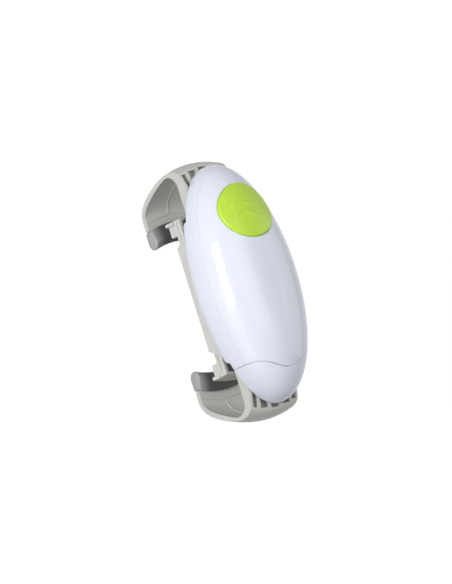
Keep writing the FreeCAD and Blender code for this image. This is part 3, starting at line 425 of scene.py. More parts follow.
class ShadingGroup(NodeBoard):
    """A shading node group with named sockets, built once and used by several finishes."""

    made: dict[str, bpy.types.NodeTree] = {}
    socket_type = "NodeSocketFloat"

    def __init__(self, name: str) -> None:
        """Starts an empty group.

        Args:
            name: Name by which the finishes ask for it.
        """
        super().__init__(bpy.data.node_groups.new(name, "ShaderNodeTree"))
        self.entry = self.node("NodeGroupInput")
        self.exit = self.node("NodeGroupOutput")
        ShadingGroup.made[name] = self.tree

    def take(self, name: str, value: float) -> None:
        """Adds an input with its usual value."""
        socket = self.tree.interface.new_socket(name, in_out="INPUT", socket_type=self.socket_type)
        socket.default_value = value

    def give(self, name: str, source: bpy.types.NodeSocket) -> None:
        """Adds an output fed by a socket."""
        self.tree.interface.new_socket(name, in_out="OUTPUT", socket_type=self.socket_type)
        self.join(source, self.exit.inputs[name])

    def noise(self, size: str, detail: float,
              vector: bpy.types.NodeSocket) -> bpy.types.NodeSocket:
        """Adds a noise whose scale is one of the group's inputs.

        Args:
            size: Name of that input.
            detail: Number of finer layers in the noise.
            vector: Places at which it is read.

        Returns:
            The noise's value.
        """
        made = self.node("ShaderNodeTexNoise")
        made.inputs["Detail"].default_value = detail
        self.join(vector, made.inputs["Vector"])
        self.join(self.entry.outputs[size], made.inputs["Scale"])
        return made.outputs["Fac"]

    def product(self, first: bpy.types.NodeSocket,
                second: bpy.types.NodeSocket) -> bpy.types.NodeSocket:
        """Multiplies two values.

        Args:
            first: One value.
            second: The other.

        Returns:
            Their product.
        """
        made = self.node("ShaderNodeMath", operation="MULTIPLY")
        self.join(first, made.inputs[0])
        self.join(second, made.inputs[1])
        return made.outputs["Value"]


def build_grain_group() -> None:
    """Fine mould texture: an even pebble with a slower unevenness."""
    group = ShadingGroup("mould_grain")
    group.take("Grain Size", 2500.0)
    group.take("Slow Size", 40.0)
    place = group.node("ShaderNodeTexCoord").outputs["Object"]
    group.give("Height", group.noise("Grain Size", 2.0, place))
    group.give("Unevenness", group.noise("Slow Size", 3.0, place))


STREAK_SCALE = (0.35, 1.0, 1.0)  # draws the streaks out along the tool
PATCH_LIMITS = (0.42, 0.72)  # where in the noise a patch of film starts and is full


def build_film_group() -> None:
    """Faint film of handling: soft patches with finer streaks inside them."""
    group = ShadingGroup("handling_film")
    group.take("Patch Size", 18.0)
    group.take("Streak Size", 260.0)
    place = group.node("ShaderNodeTexCoord").outputs["Object"]
    stretch = group.node("ShaderNodeMapping")
    stretch.inputs["Scale"].default_value = STREAK_SCALE
    group.join(place, stretch.inputs["Vector"])
    patch = group.node("ShaderNodeMapRange")
    patch.inputs["From Min"].default_value, patch.inputs["From Max"].default_value = PATCH_LIMITS
    group.join(group.noise("Patch Size", 3.0, place), patch.inputs["Value"])
    streak = group.noise("Streak Size", 2.0, stretch.outputs["Vector"])
    group.give("Film", group.product(patch.outputs["Result"], streak))


def build_wear_group() -> None:
    """Rubbed edges and painted edge highlights: a mask where the surface turns outwards, broken up
    by grain.
    """
    group = ShadingGroup("edge_wear_and_highlight")
    group.take("Start", 0.54)
    group.take("Full", 0.70)
    group.take("Break Size", 420.0)
    place = group.node("ShaderNodeTexCoord").outputs["Object"]
    edge = group.node("ShaderNodeMapRange")
    group.join(group.node("ShaderNodeNewGeometry").outputs["Pointiness"], edge.inputs["Value"])
    group.join(group.entry.outputs["Start"], edge.inputs["From Min"])
    group.join(group.entry.outputs["Full"], edge.inputs["From Max"])
    grain = group.noise("Break Size", 4.0, place)
    group.give("Wear And Highlight", group.product(edge.outputs["Result"], grain))


# ------------------------------------------------------------------ finishes


def scaled(colour: Colour, factor: float) -> Colour:
    """A colour made darker or lighter by a factor, up to full strength."""
    return tuple(min(1.0, part * factor) for part in colour)


def midway(first: Colour, second: Colour) -> Colour:
    """The colour halfway between two."""
    return tuple((a + b) / 2 for a, b in zip(first, second))


class MaterialSheet(NodeBoard):
    """One material's node tree while it is being wired."""

    def __init__(self, name: str) -> None:
        """Starts a material with only its shader and output.

        Args:
            name: Name of the material.
        """
        self.material = bpy.data.materials.new(name)
        self.material.use_nodes = True
        super().__init__(self.material.node_tree)
        self.shader = self.tree.nodes["Principled BSDF"]

    def group(self, name: str, **values: float) -> bpy.types.Node:
        """Places a shared group.

        Args:
            name: Name of the group.
            values: What its inputs are set to, by their names with _ for spaces.

        Returns:
            The group's node.
        """
        made = self.node("ShaderNodeGroup", node_tree=ShadingGroup.made[name])
        for key, value in values.items():
            made.inputs[key.replace("_", " ")].default_value = value
        return made

    def ranged(self, source: bpy.types.NodeSocket, low: float, high: float,
               target: bpy.types.NodeSocket) -> None:
        """Feeds a value between 0 and 1 to a socket, stretched between two limits.

        Args:
            source: The value.
            low: What the socket gets for 0.
            high: What it gets for 1.
            target: The socket.
        """
        ramp = self.node("ShaderNodeMapRange")
        ramp.inputs["To Min"].default_value = low
        ramp.inputs["To Max"].default_value = high
        self.join(source, ramp.inputs["Value"])
        self.join(ramp.outputs["Result"], target)

    def mixed(self, factor: bpy.types.NodeSocket, first: bpy.types.NodeSocket | Colour,
              second: bpy.types.NodeSocket | Colour) -> bpy.types.NodeSocket:
        """Mixes two colours.

        Args:
            factor: Share of the second colour.
            first: A colour, or the socket that gives it.
            second: The other colour, or its socket.

        Returns:
            The mixed colour.
        """
        mix = self.node("ShaderNodeMix", data_type="RGBA")
        self.join(factor, mix.inputs["Factor"])
        colours = [socket for socket in mix.inputs if socket.type == "RGBA"]
        for value, socket in zip((first, second), colours):
            if isinstance(value, tuple):
                socket.default_value = (*value, 1.0)
            else:
                self.join(value, socket)
        return next(socket for socket in mix.outputs if socket.type == "RGBA")

    def bumped(self, height: bpy.types.NodeSocket, strength: float, depth: float) -> None:
        """Gives the shader a bumped surface.

        Args:
            height: Height of the bumps, from 0 to 1.
            strength: How strongly they shade.
            depth: How deep they are, in millimetres.
        """
        bump = self.node("ShaderNodeBump")
        bump.inputs["Strength"].default_value = strength
        bump.inputs["Distance"].default_value = depth * MM
        self.join(height, bump.inputs["Height"])
        self.join(bump.outputs["Normal"], self.shader.inputs["Normal"])


@dataclass(frozen=True)
class GlossPlastic:
    """Highly polished moulding with a trace of handling on it."""

    name: str
    colour: Colour
    rough: float = 0.10
    film_rough: float = 0.07
    shade: float = 0.97
    ior: float = 1.5
    ripple: float = 0.02
    ripple_depth: float = 0.4

    def material(self) -> bpy.types.Material:
        """Builds the material.

        Returns:
            The material, with its colour, roughness and slow ripple.
        """
        sheet = MaterialSheet(self.name)
        film = sheet.group("handling_film", Patch_Size=22.0, Streak_Size=300.0)
        grain = sheet.group("mould_grain", Grain_Size=900.0, Slow_Size=30.0)
        colour = sheet.mixed(grain.outputs["Unevenness"], self.colour,
                             scaled(self.colour, self.shade))
        sheet.join(colour, sheet.shader.inputs["Base Color"])
        sheet.ranged(film.outputs["Film"], self.rough, self.rough + self.film_rough,
                     sheet.shader.inputs["Roughness"])
        sheet.shader.inputs["IOR"].default_value = self.ior
        sheet.bumped(grain.outputs["Unevenness"], self.ripple, self.ripple_depth)
        return sheet.material


@dataclass(frozen=True)
class SatinPlastic:
    """Moulding with a fine even texture that is a little lighter on its outward edges, as rubbing
    and as a painted edge highlight.
    """

    name: str
    colour: Colour
    rough: float = 0.42
    film_rough: float = 0.14
    shade: float = 0.94
    # how much lighter the outward edges get, partly as wear and partly as painted highlight
    worn: float = 1.18
    ior: float = 1.46
    grain: float = 2600.0
    grain_strength: float = 0.35
    depth: float = 0.02

    def material(self) -> bpy.types.Material:
        """Builds the material.

        Returns:
            The material, with its mould texture, edges lightened by rubbing and by painted
            highlight, and film.
        """
        sheet = MaterialSheet(self.name)
        grain = sheet.group("mould_grain", Grain_Size=self.grain, Slow_Size=36.0)
        wear_and_highlight = sheet.group("edge_wear_and_highlight", Start=0.56, Full=0.74)
        film = sheet.group("handling_film", Patch_Size=26.0)
        plain = sheet.mixed(grain.outputs["Unevenness"], self.colour,
                            scaled(self.colour, self.shade))
        # outward edges made lighter: partly rubbed wear, partly a painted edge highlight
        sheet.join(sheet.mixed(wear_and_highlight.outputs["Wear And Highlight"], plain, scaled(self.colour, self.worn)),
                   sheet.shader.inputs["Base Color"])
        sheet.ranged(film.outputs["Film"], self.rough, self.rough + self.film_rough,
                     sheet.shader.inputs["Roughness"])
        sheet.shader.inputs["IOR"].default_value = self.ior
        sheet.bumped(grain.outputs["Height"], self.grain_strength, self.depth)
        return sheet.material


@dataclass(frozen=True)
class Rubber:
    """Matt rubber with dusty bloom on its edges, partly a painted edge highlight, and, where
    asked, paler ends that are painted light.
    """

    name: str
    colour: Colour
    bloom: Colour
    rough: float = 0.66
    rough_spread: tuple[float, float] = (0.06, 0.10)
    shade: float = 0.85
    grain_strength: float = 0.5
    grain_depth: float = 0.05
    # painted light: the pad's ends are made paler, as if lit, between these widths across the tool
    end_colour: Colour | None = None
    end_shade: float = 0.9
    end_from: float = 0.0
    end_full: float = 1.0

    def material(self) -> bpy.types.Material:
        """Builds the material.

        Returns:
            The material, with its dust, its edge bloom that is partly a painted edge highlight
            and, where it has them, ends painted paler as light.
        """
        sheet = MaterialSheet(self.name)
        grain = sheet.group("mould_grain", Grain_Size=1500.0, Slow_Size=60.0)
        wear_and_highlight = sheet.group("edge_wear_and_highlight", Start=0.53, Full=0.66, Break_Size=300.0)
        film = sheet.group("handling_film", Patch_Size=40.0, Streak_Size=500.0)
        plain = sheet.mixed(grain.outputs["Unevenness"], scaled(self.colour, self.shade),
                            self.colour)
        dusty = sheet.mixed(film.outputs["Film"], plain, midway(self.colour, self.bloom))
        # edge bloom: partly dust and partly a painted edge highlight
        worn = sheet.mixed(wear_and_highlight.outputs["Wear And Highlight"], dusty, self.bloom)
        # painted light and shade: the ends are mixed towards a pale lit colour, the middle keeps
        # its dark, shaded colour
        if self.end_colour is not None:
            lit_end_speckled = sheet.mixed(grain.outputs["Height"], self.end_colour,
                                   scaled(self.end_colour, self.end_shade))
            worn = sheet.mixed(self.end_mask(sheet), worn, lit_end_speckled)
        sheet.join(worn, sheet.shader.inputs["Base Color"])
        smoother, rougher = self.rough_spread
        sheet.ranged(grain.outputs["Unevenness"], self.rough - smoother, self.rough + rougher,
                     sheet.shader.inputs["Roughness"])
        sheet.bumped(grain.outputs["Height"], self.grain_strength, self.grain_depth)
        return sheet.material

    def end_mask(self, sheet: MaterialSheet) -> bpy.types.NodeSocket:
        """Mask of painted light that grows towards the pad's two ends, by the distance across the
        tool.

        Args:
            sheet: The material being wired.

        Returns:
            A socket that is 1 on the ends and 0 in the middle.
        """
        place = sheet.node("ShaderNodeTexCoord")
        parts = sheet.node("ShaderNodeSeparateXYZ")
        across = sheet.node("ShaderNodeMath", operation="ABSOLUTE")
        ramp = sheet.node("ShaderNodeMapRange", interpolation_type="SMOOTHSTEP")
        ramp.inputs["From Min"].default_value = self.end_from * MM
        ramp.inputs["From Max"].default_value = self.end_full * MM
        sheet.join(place.outputs["Object"], parts.inputs["Vector"])
        sheet.join(parts.outputs["Y"], across.inputs[0])
        sheet.join(across.outputs["Value"], ramp.inputs["Value"])
        return ramp.outputs["Result"]


@dataclass(frozen=True)
class Metal:
    """Machined metal with fine marks along one direction."""

    name: str
    colour: Colour
    rough: float = 0.28
    film_rough: float = 0.2
    shade: float = 0.8
    marks: float = 1800.0
    mark_strength: float = 0.25
    mark_depth: float = 0.01

    def material(self) -> bpy.types.Material:
        """Builds the material.

        Returns:
            The material, with its marks and uneven shine.
        """
        sheet = MaterialSheet(self.name)
        film = sheet.group("handling_film", Patch_Size=60.0, Streak_Size=self.marks)
        grain = sheet.group("mould_grain", Grain_Size=self.marks, Slow_Size=90.0)
        sheet.join(sheet.mixed(grain.outputs["Unevenness"], self.colour,
                               scaled(self.colour, self.shade)),
                   sheet.shader.inputs["Base Color"])
        sheet.shader.inputs["Metallic"].default_value = 1.0
        sheet.ranged(film.outputs["Film"], self.rough, self.rough + self.film_rough,
                     sheet.shader.inputs["Roughness"])
        sheet.bumped(grain.outputs["Height"], self.mark_strength, self.mark_depth)
        return sheet.material


FINISHES = {
    "housing_white": GlossPlastic("housing_white", (0.80, 0.83, 0.95)),
    "button_green": GlossPlastic("button_green", (0.55, 0.80, 0.045), rough=0.2, shade=0.94),
    "arm_grey": SatinPlastic("arm_grey", (0.65, 0.64, 0.61)),
    "carrier_grey": SatinPlastic("carrier_grey", (0.70, 0.69, 0.66)),
    # pad_rubber: the very dark colour is partly painted shade of the pad's middle, and the pale
    # end colour is painted light
    "pad_rubber": Rubber("pad_rubber", (0.075, 0.075, 0.073), (0.16, 0.16, 0.155),
                         end_colour=(0.45, 0.45, 0.445), end_from=11.0, end_full=21.0),
    "lid_rubber": Rubber("lid_rubber", (0.74, 0.74, 0.735), (0.82, 0.82, 0.82), rough=0.6),
    "chassis_plastic": SatinPlastic("chassis_plastic", (0.22, 0.22, 0.225), rough=0.5),
    "gear_plastic": SatinPlastic("gear_plastic", (0.78, 0.77, 0.70), rough=0.36, depth=0.008),
    "steel": Metal("steel", (0.55, 0.55, 0.56)),
    "motor_can": Metal("motor_can", (0.60, 0.61, 0.62), rough=0.34),
    "brass": Metal("brass", (0.71, 0.58, 0.29), rough=0.3),
    "board_green": SatinPlastic("board_green", (0.03, 0.18, 0.08), rough=0.3, depth=0.004),
    "switch_black": SatinPlastic("switch_black", (0.03, 0.03, 0.03), rough=0.4),
    "cell_jacket": Metal("cell_jacket", (0.12, 0.13, 0.15), rough=0.3),
}


class Paintbox:
    """Makes each finish's material once and puts it on pieces."""

    def __init__(self) -> None:
        """Builds the shared groups."""
        build_grain_group()
        build_film_group()
        build_wear_group()
        self.materials: dict[str, bpy.types.Material] = {}

    def material(self, slot: str) -> bpy.types.Material:
        """The material of one of the record's slots, made when it is first asked for.

        Args:
            slot: Name of the slot.

        Returns:
            Its material.
        """
        if slot not in self.materials:
            self.materials[slot] = FINISHES[slot].material()
        return self.materials[slot]

    def paint(self, piece: bpy.types.Object, slot: str) -> None:
        """Gives a new piece the finish of a slot."""
        piece.data.materials.append(self.material(slot))

    def repaint(self, node: bpy.types.Object, slot: str) -> None:
        """Gives a node of the frame its finish.

        Args:
            node: The node.
            slot: Name of its slot.
        """
        for holder in node.material_slots:
            holder.link = "OBJECT"
            holder.material = self.material(slot)


# ------------------------------------------------------------------ the housing's dome


@dataclass(frozen=True)
class Dome:
    """The oval dome that the cover, the door and the button's top share."""

    half_length: float = 88.0
    half_width: float = 38.5
    crown: float = 37.0
    power: float = 2.42
    rim: float = 64.0
    door_start: float = 58.0
    door_bow: float = 9.5
    door_bow_half: float = 26.0
    middle_share: float = 1e-6

    def share(self, height: np.ndarray) -> np.ndarray:
        """Share of the plan size left at a height above the rim."""
        return np.maximum(0.0, 1 - (height / self.crown) ** self.power) ** (1 / self.power)

    def on_plan(self, x: np.ndarray, y: np.ndarray) -> np.ndarray:
        """Points of the dome above plan places.

        Args:
            x: Places along the tool.
            y: Places across it.

        Returns:
            The points, one in each last row.
        """
        rho = np.hypot(x / self.half_length, y / self.half_width)
        height = self.crown * self.share(self.crown * np.minimum(rho, 1.0))
        return np.stack([x, y, self.rim + height], axis=-1)

    def normals(self, points: np.ndarray) -> np.ndarray:
        """Unit normals at points of the dome.

        Args:
            points: The points.

        Returns:
            Their normals, pointing out.
        """
        x, y, z = points[..., 0], points[..., 1], np.maximum(points[..., 2] - self.rim, 0.0)
        rho = np.maximum(np.hypot(x / self.half_length, y / self.half_width), self.middle_share)
        plan = rho ** (self.power - 2)
        return unit(np.stack([plan * x / self.half_length ** 2, plan * y / self.half_width ** 2,
                              (z / self.crown) ** (self.power - 1) / self.crown], axis=-1))

    def grown(self, amount: float) -> Dome:
        """A dome like this one, larger by an amount all round, or smaller if it is negative."""
        return Dome(self.half_length + amount, self.half_width + amount, self.crown + amount)

    def door_line(self, y: np.ndarray) -> np.ndarray:
        """Where the door's joint line lies along the tool."""
        share = np.minimum(1.0, np.abs(y) / self.door_bow_half)
        return self.door_start + self.door_bow * (1 + np.cos(math.pi * share)) / 2


@dataclass
class Housing:
    """Top cover, lower housing with its skirt, and the battery door."""

    paints: Paintbox
    dome: Dome = field(default_factory=Dome)
    wall: float = 2.2
    seam_height: float = 12.4
    seam_gap: float = 0.12
    joint_gap: float = 0.3
    edge: float = 0.3
    skirt_drop: float = 8.5
    skirt_inset: float = 3.8
    skirt_half: float = 47.5
    notch_run: float = 4.3
    notch_rise: float = 5.8
    notch_lean: float = 0.7
    ledge_height: float = 1.2
    ledge_width: float = 2.2
    boss_x: tuple[float, float] = (-40.0, 14.0)
    boss_y: float = 27.0
    boss_outer: float = 3.0
    boss_bore: float = 1.3
    boss_foot: float = 67.5
    tongue: tuple[float, float] = (6.0, 14.0)
    tongue_thickness: float = 1.4
    tongue_gap: float = 0.3
    tongue_root: float = 3.0
    tongue_bite: float = 0.6
    well_radius: float = 21.7
    well_gap: float = 0.02
    collar_wall: float = 1.5
    collar_depth: float = 6.5
    corner_round: float = 0.5
    ledge_bite: float = 0.4
    # how finely the surfaces are drawn
    cover_columns: tuple[int, int] = (111, 251)
    cover_rows: int = 64
    cover_search: tuple[float, float] = (5.0, 200.0)
    cover_halvings: int = 50
    well_sides: int = 180
    corner_points: int = 5
    longest_step: float = 1.6
    end_columns: int = 100
    wall_rows: int = 26
    ledge_sides: int = 200
    door_samples: int = 600
    door_crowding: float = 2.6
    door_columns: int = 181
    door_rows: int = 44

    def build(self, button: StartButton) -> None:
        """Builds and dresses the three white pieces.

        Args:
            button: The button, which gives the well's place.
        """
        self.build_cover(button)
        self.build_lower_housing()
        self.build_door()

    def dress(self, piece: bpy.types.Object, body: str, node: str) -> None:
        """Finishes a white piece and puts it in its node's place.

        Args:
            piece: The piece.
            body: Body that it moves with.
            node: Node of the frame whose place it takes.
        """
        self.paints.paint(piece, "housing_white")
        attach(piece, body)
        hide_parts(node)
        LOG.info("%s: %d faces", piece.name, len(piece.data.polygons))

    def build_cover(self, button: StartButton) -> None:
        """Cover: from the button's well out to the seam and the door's joint line.

        Args:
            button: The button, which gives the well's place.
        """
        dome = self.dome
        lift = self.seam_height + self.seam_gap / 2
        seam = float(dome.share(np.array(lift)))
        corner_x = dome.door_start - self.joint_gap / 2
        corner_y = dome.half_width * math.sqrt(seam ** 2 - (corner_x / dome.half_length) ** 2)
        corner = math.atan2(corner_y, corner_x - button.seat[0])
        door_columns, side_columns = self.cover_columns
        front = np.linspace(-corner, corner, door_columns)
        side = corner + (2 * math.pi - 2 * corner) * np.linspace(0, 1, side_columns)[1:-1]
        lines = []
        for angle in np.concatenate([front, side]):
            inner = button.on_dome(dome, self.well_radius * math.cos(angle),
                                   self.well_radius * math.sin(angle))
            outer = self.cover_edge(button, inner, seam)

            def along(share: np.ndarray, a: np.ndarray = inner[:2],
                      b: np.ndarray = outer) -> np.ndarray:
                """Line over the dome from the well to the cover's edge."""
                plan = a + (b - a) * share[:, None]
                return dome.on_plan(plan[:, 0], plan[:, 1])

            lines.append(spaced(along, self.cover_rows, self.edge))
        surface = np.array(lines)
        blank = Blank()
        blank.add_loops(shelled(surface, dome.normals(surface), self.wall, Ends.JOINED),
                        Ends.JOINED)
        blank.add_tube(self.well_radius + self.collar_wall, self.well_radius + self.well_gap,
                       -self.collar_depth, button.collar_top, sides=self.well_sides,
                       place=button.place())
        for x in self.boss_x:
            for y in (-self.boss_y, self.boss_y):
                blank.add_loops(self.boss_loops(x, y), Ends.JOINED)
        self.dress(blank.piece("cover_shell"), "housing", "top_cover")

    def boss_loops(self, x: float, y: float, sides: int = 40) -> np.ndarray:
        """Rings of one screw boss, whose top follows the middle of the cover's wall.

        Args:
            x: Place of its axis along the tool.
            y: Place of its axis across it.
            sides: Number of sides.

        Returns:
            Closed rings of points for Blank.add_loops.
        """
        middle = self.dome.grown(-self.wall / 2)
        angle = ringed(sides)
        rings = []
        for radius, roofed in ((self.boss_bore, False), (self.boss_outer, False),
                               (self.boss_outer, True), (self.boss_bore, True)):
            ring = middle.on_plan(x + radius * np.cos(angle), y + radius * np.sin(angle))
            if not roofed:
                ring[:, 2] = self.boss_foot
            rings.append(ring)
        return np.array(rings)

    def cover_edge(self, button: StartButton, inner: np.ndarray, seam: float) -> np.ndarray:
        """Where the ray from the button's middle over a well point leaves the cover.

        Args:
            button: The button.
            inner: Point on the well's edge.
            seam: Plan share of the dome at the seam.

        Returns:
            Plan place of the cover's edge on that ray.
        """
        dome = self.dome
        middle = np.array([button.seat[0], 0.0])
        ray = unit(inner[:2] - middle)

        def covered(reach: np.ndarray) -> np.ndarray:
            """Whether the cover still holds at a place.

            Args:
                reach: How far along the ray the place is.

            Returns:
                True where it does.
            """
            x, y = middle + ray * reach
            within = np.hypot(x / dome.half_length, y / dome.half_width) < seam
            return within & (x < dome.door_line(y) - self.joint_gap / 2)

        low, high = self.cover_search
        return middle + ray * furthest_inside(covered, np.array(low), np.array(high),
                                              self.cover_halvings)

    def side_point(self, angle: np.ndarray, z: np.ndarray) -> np.ndarray:
        """Points on the housing's side below the seam.

        Args:
            angle: Plan angles from the door's end, before the oval is stretched.
            z: Heights.

        Returns:
            The points.
        """
        dome = self.dome
        low = np.maximum(0.0, dome.rim - z) / self.skirt_drop
        inset = self.skirt_inset * low ** 2
        share = dome.share(np.maximum(0.0, z - dome.rim))
        return np.stack([(dome.half_length * share - inset) * np.cos(angle),
                         (dome.half_width * share - inset) * np.sin(angle), z], axis=-1)

    def end_angle(self, z: np.ndarray) -> np.ndarray:
        """Plan angle where the lower housing stops at the door, by height."""
        reach = self.side_point(np.zeros_like(z), z)[..., 0]
        return np.arccos((self.dome.door_start - self.joint_gap / 2) / reach)

    def skirt_line(self) -> np.ndarray:
        """Lower edge along one side, from the door to the button's end.

        Returns:
            Places along the tool and heights, side by side in two columns.
        """
        rim, half = self.dome.rim, self.skirt_half
        start = self.dome.door_start - self.joint_gap / 2
        outer = half + self.notch_run + self.notch_lean
        corners = [(start, rim), (outer, rim),
                   (half + self.notch_run, rim - self.skirt_drop + self.notch_rise),
                   (half, rim - self.skirt_drop)]
        corners += [(-x, z) for x, z in reversed(corners[1:])]
        path = [np.array([start, rim]), np.array([start - self.edge, rim])]
        for before, here, after in zip(corners[:-2], corners[1:-1], corners[2:]):
            here = np.array(here)
            back, on = unit(np.array(before) - here), unit(np.array(after) - here)
            for share in np.linspace(0, 1, self.corner_points):
                path.append(here + back * self.corner_round * (1 - share) ** 2
                            + on * self.corner_round * share ** 2)
        path.append(np.array(corners[-1]))
        return filled_in(path, self.longest_step)

    def build_lower_housing(self) -> None:
        """Lower housing: side wall, skirt and the ledge inside it."""
        rim = self.dome.rim
        line = self.skirt_line()
        top = rim + self.seam_height - self.seam_gap / 2
        shares = []
        for x, z in line:
            reach = self.side_point(np.array(0.0), np.array(z))[0]
            limit = float(self.end_angle(np.array(z)))
            angle = math.acos(max(-1.0, min(1.0, x / reach)))
            shares.append((max(0.0, (angle - limit) / (2 * math.pi - 2 * limit)), z))
        turn = np.linspace(shares[-1][0], 1 - shares[-1][0], self.end_columns)[1:-1]
        columns = shares + [(share, rim) for share in turn]
        columns += [(1 - share, z) for share, z in reversed(shares)]
        lines = []
        for share, foot in columns:

            def up(step: np.ndarray, u: float = share, low: float = foot) -> np.ndarray:
                """Line up the side wall.

                Args:
                    step: Shares of the way from the lower edge to the seam.
                    u: Share of the way round the tool.
                    low: Height of the lower edge there.

                Returns:
                    The points at those shares.
                """
                z = low + (top - low) * step
                limit = self.end_angle(z)
                return self.side_point(limit + (2 * math.pi - 2 * limit) * u, z)

            lines.append(spaced(up, self.wall_rows, self.edge))
        surface = np.array(lines)
        blank = Blank()
        blank.add_loops(shelled(surface, self.side_normals(surface), self.wall, Ends.CAPPED),
                        Ends.CAPPED)
        blank.add_loops(self.ledge_loops(), Ends.JOINED)
        self.dress(blank.piece("lower_shell"), "housing", "lower_housing")

    def ledge_loops(self) -> np.ndarray:
        """Rings of the ledge that runs round inside the lower housing.

        Returns:
            Closed rings of points for Blank.add_loops.
        """
        low, high = self.dome.rim, self.dome.rim + self.ledge_height
        outer, inner = self.wall - self.ledge_bite, self.wall + self.ledge_width
        angle = ringed(self.ledge_sides)
        return np.array([np.column_stack([(self.dome.half_length - inset) * np.cos(angle),
                                          (self.dome.half_width - inset) * np.sin(angle),
                                          np.full(self.ledge_sides, z)])
                         for inset, z in ((outer, low), (outer, high), (inner, high),
                                          (inner, low))])

    def side_normals(self, points: np.ndarray) -> np.ndarray:
        """Unit normals on the side wall, from small steps about each point.

        Args:
            points: Points of the side wall.

        Returns:
            Their normals, pointing out.
        """
        z = points[..., 2]
        reach = self.side_point(np.zeros_like(z), z)[..., 0]
        width = self.side_point(np.full_like(z, math.pi / 2), z)[..., 1]
        angle = np.arctan2(points[..., 1] / width, points[..., 0] / reach)
        small = 1e-3
        around = self.side_point(angle + small, z) - self.side_point(angle - small, z)
        up = self.side_point(angle, z + small) - self.side_point(angle, z - small)
        return unit(np.cross(around, up))

    def build_door(self) -> None:
        """Battery door: the dome's end beyond the joint line, with its tongue."""
        dome = self.dome
        shift = self.joint_gap / 2
        start = dome.door_start + shift
        reach = dome.half_width * math.sqrt(1 - (start / dome.half_length) ** 2)
        share = np.linspace(0, 1, self.door_samples)
        side = reach * (1 - (1 - share) ** self.door_crowding)
        y = np.concatenate([-side[::-1], side[1:]])
        joint = dome.on_plan(dome.door_line(y) + shift, y)
        joint[0, 2] = joint[-1, 2] = dome.rim
        along = lengths_along(joint)
        wanted = np.linspace(0, along[-1], self.door_columns)
        places = np.column_stack([np.interp(wanted, along, joint[:, k]) for k in range(3)])
        lines = []
        for x, across, _ in places:
            a = math.atan2(across / dome.half_width, x / dome.half_length)
            rho = min(1.0, math.hypot(x / dome.half_length, across / dome.half_width))
            top = math.acos(rho ** (dome.power / 2))

            def down(step: np.ndarray, a: float = a, top: float = top) -> np.ndarray:
                """Line down the dome.

                Args:
                    step: Shares of the way from the joint line to the rim.
                    a: Plan angle of the line, before the oval is stretched.
                    top: Rise angle at the joint line.

                Returns:
                    The points at those shares.
                """
                angle = top * (1 - step)
                plan = np.cos(angle) ** (2 / dome.power)
                height = dome.crown * np.abs(np.sin(angle)) ** (2 / dome.power)
                return np.column_stack([dome.half_length * plan * math.cos(a),
                                        dome.half_width * plan * math.sin(a),
                                        dome.rim + height])

            lines.append(spaced(down, self.door_rows, self.edge))
        surface = np.array(lines)
        blank = Blank()
        blank.add_loops(shelled(surface, dome.normals(surface), self.wall, Ends.PINCHED),
                        Ends.PINCHED)
        self.add_tongue(blank)
        self.dress(blank.piece("door_shell"), "battery_door", "battery_door")

    def add_tongue(self, blank: Blank) -> None:
        """Adds the tongue that holds the door under the cover, and its root.

        Args:
            blank: The door while it is being made.
        """
        depth, width = self.tongue
        half = width / 2
        joint_x = float(self.dome.door_line(np.array(0.0)))
        back = joint_x + self.tongue_root
        inner = self.dome.grown(-self.wall)
        top = float(inner.on_plan(np.array(joint_x), np.array(half))[2]) - self.tongue_gap
        post = float(inner.on_plan(np.array(back), np.array(half))[2]) + self.tongue_bite
        low = top - self.tongue_thickness
        for front, high in ((joint_x - depth, top), (joint_x + self.tongue_bite, post)):
            blank.add_prism([(front, -half), (back, -half), (back, half), (front, half)],
                            low, high)


# ------------------------------------------------------------------ the button


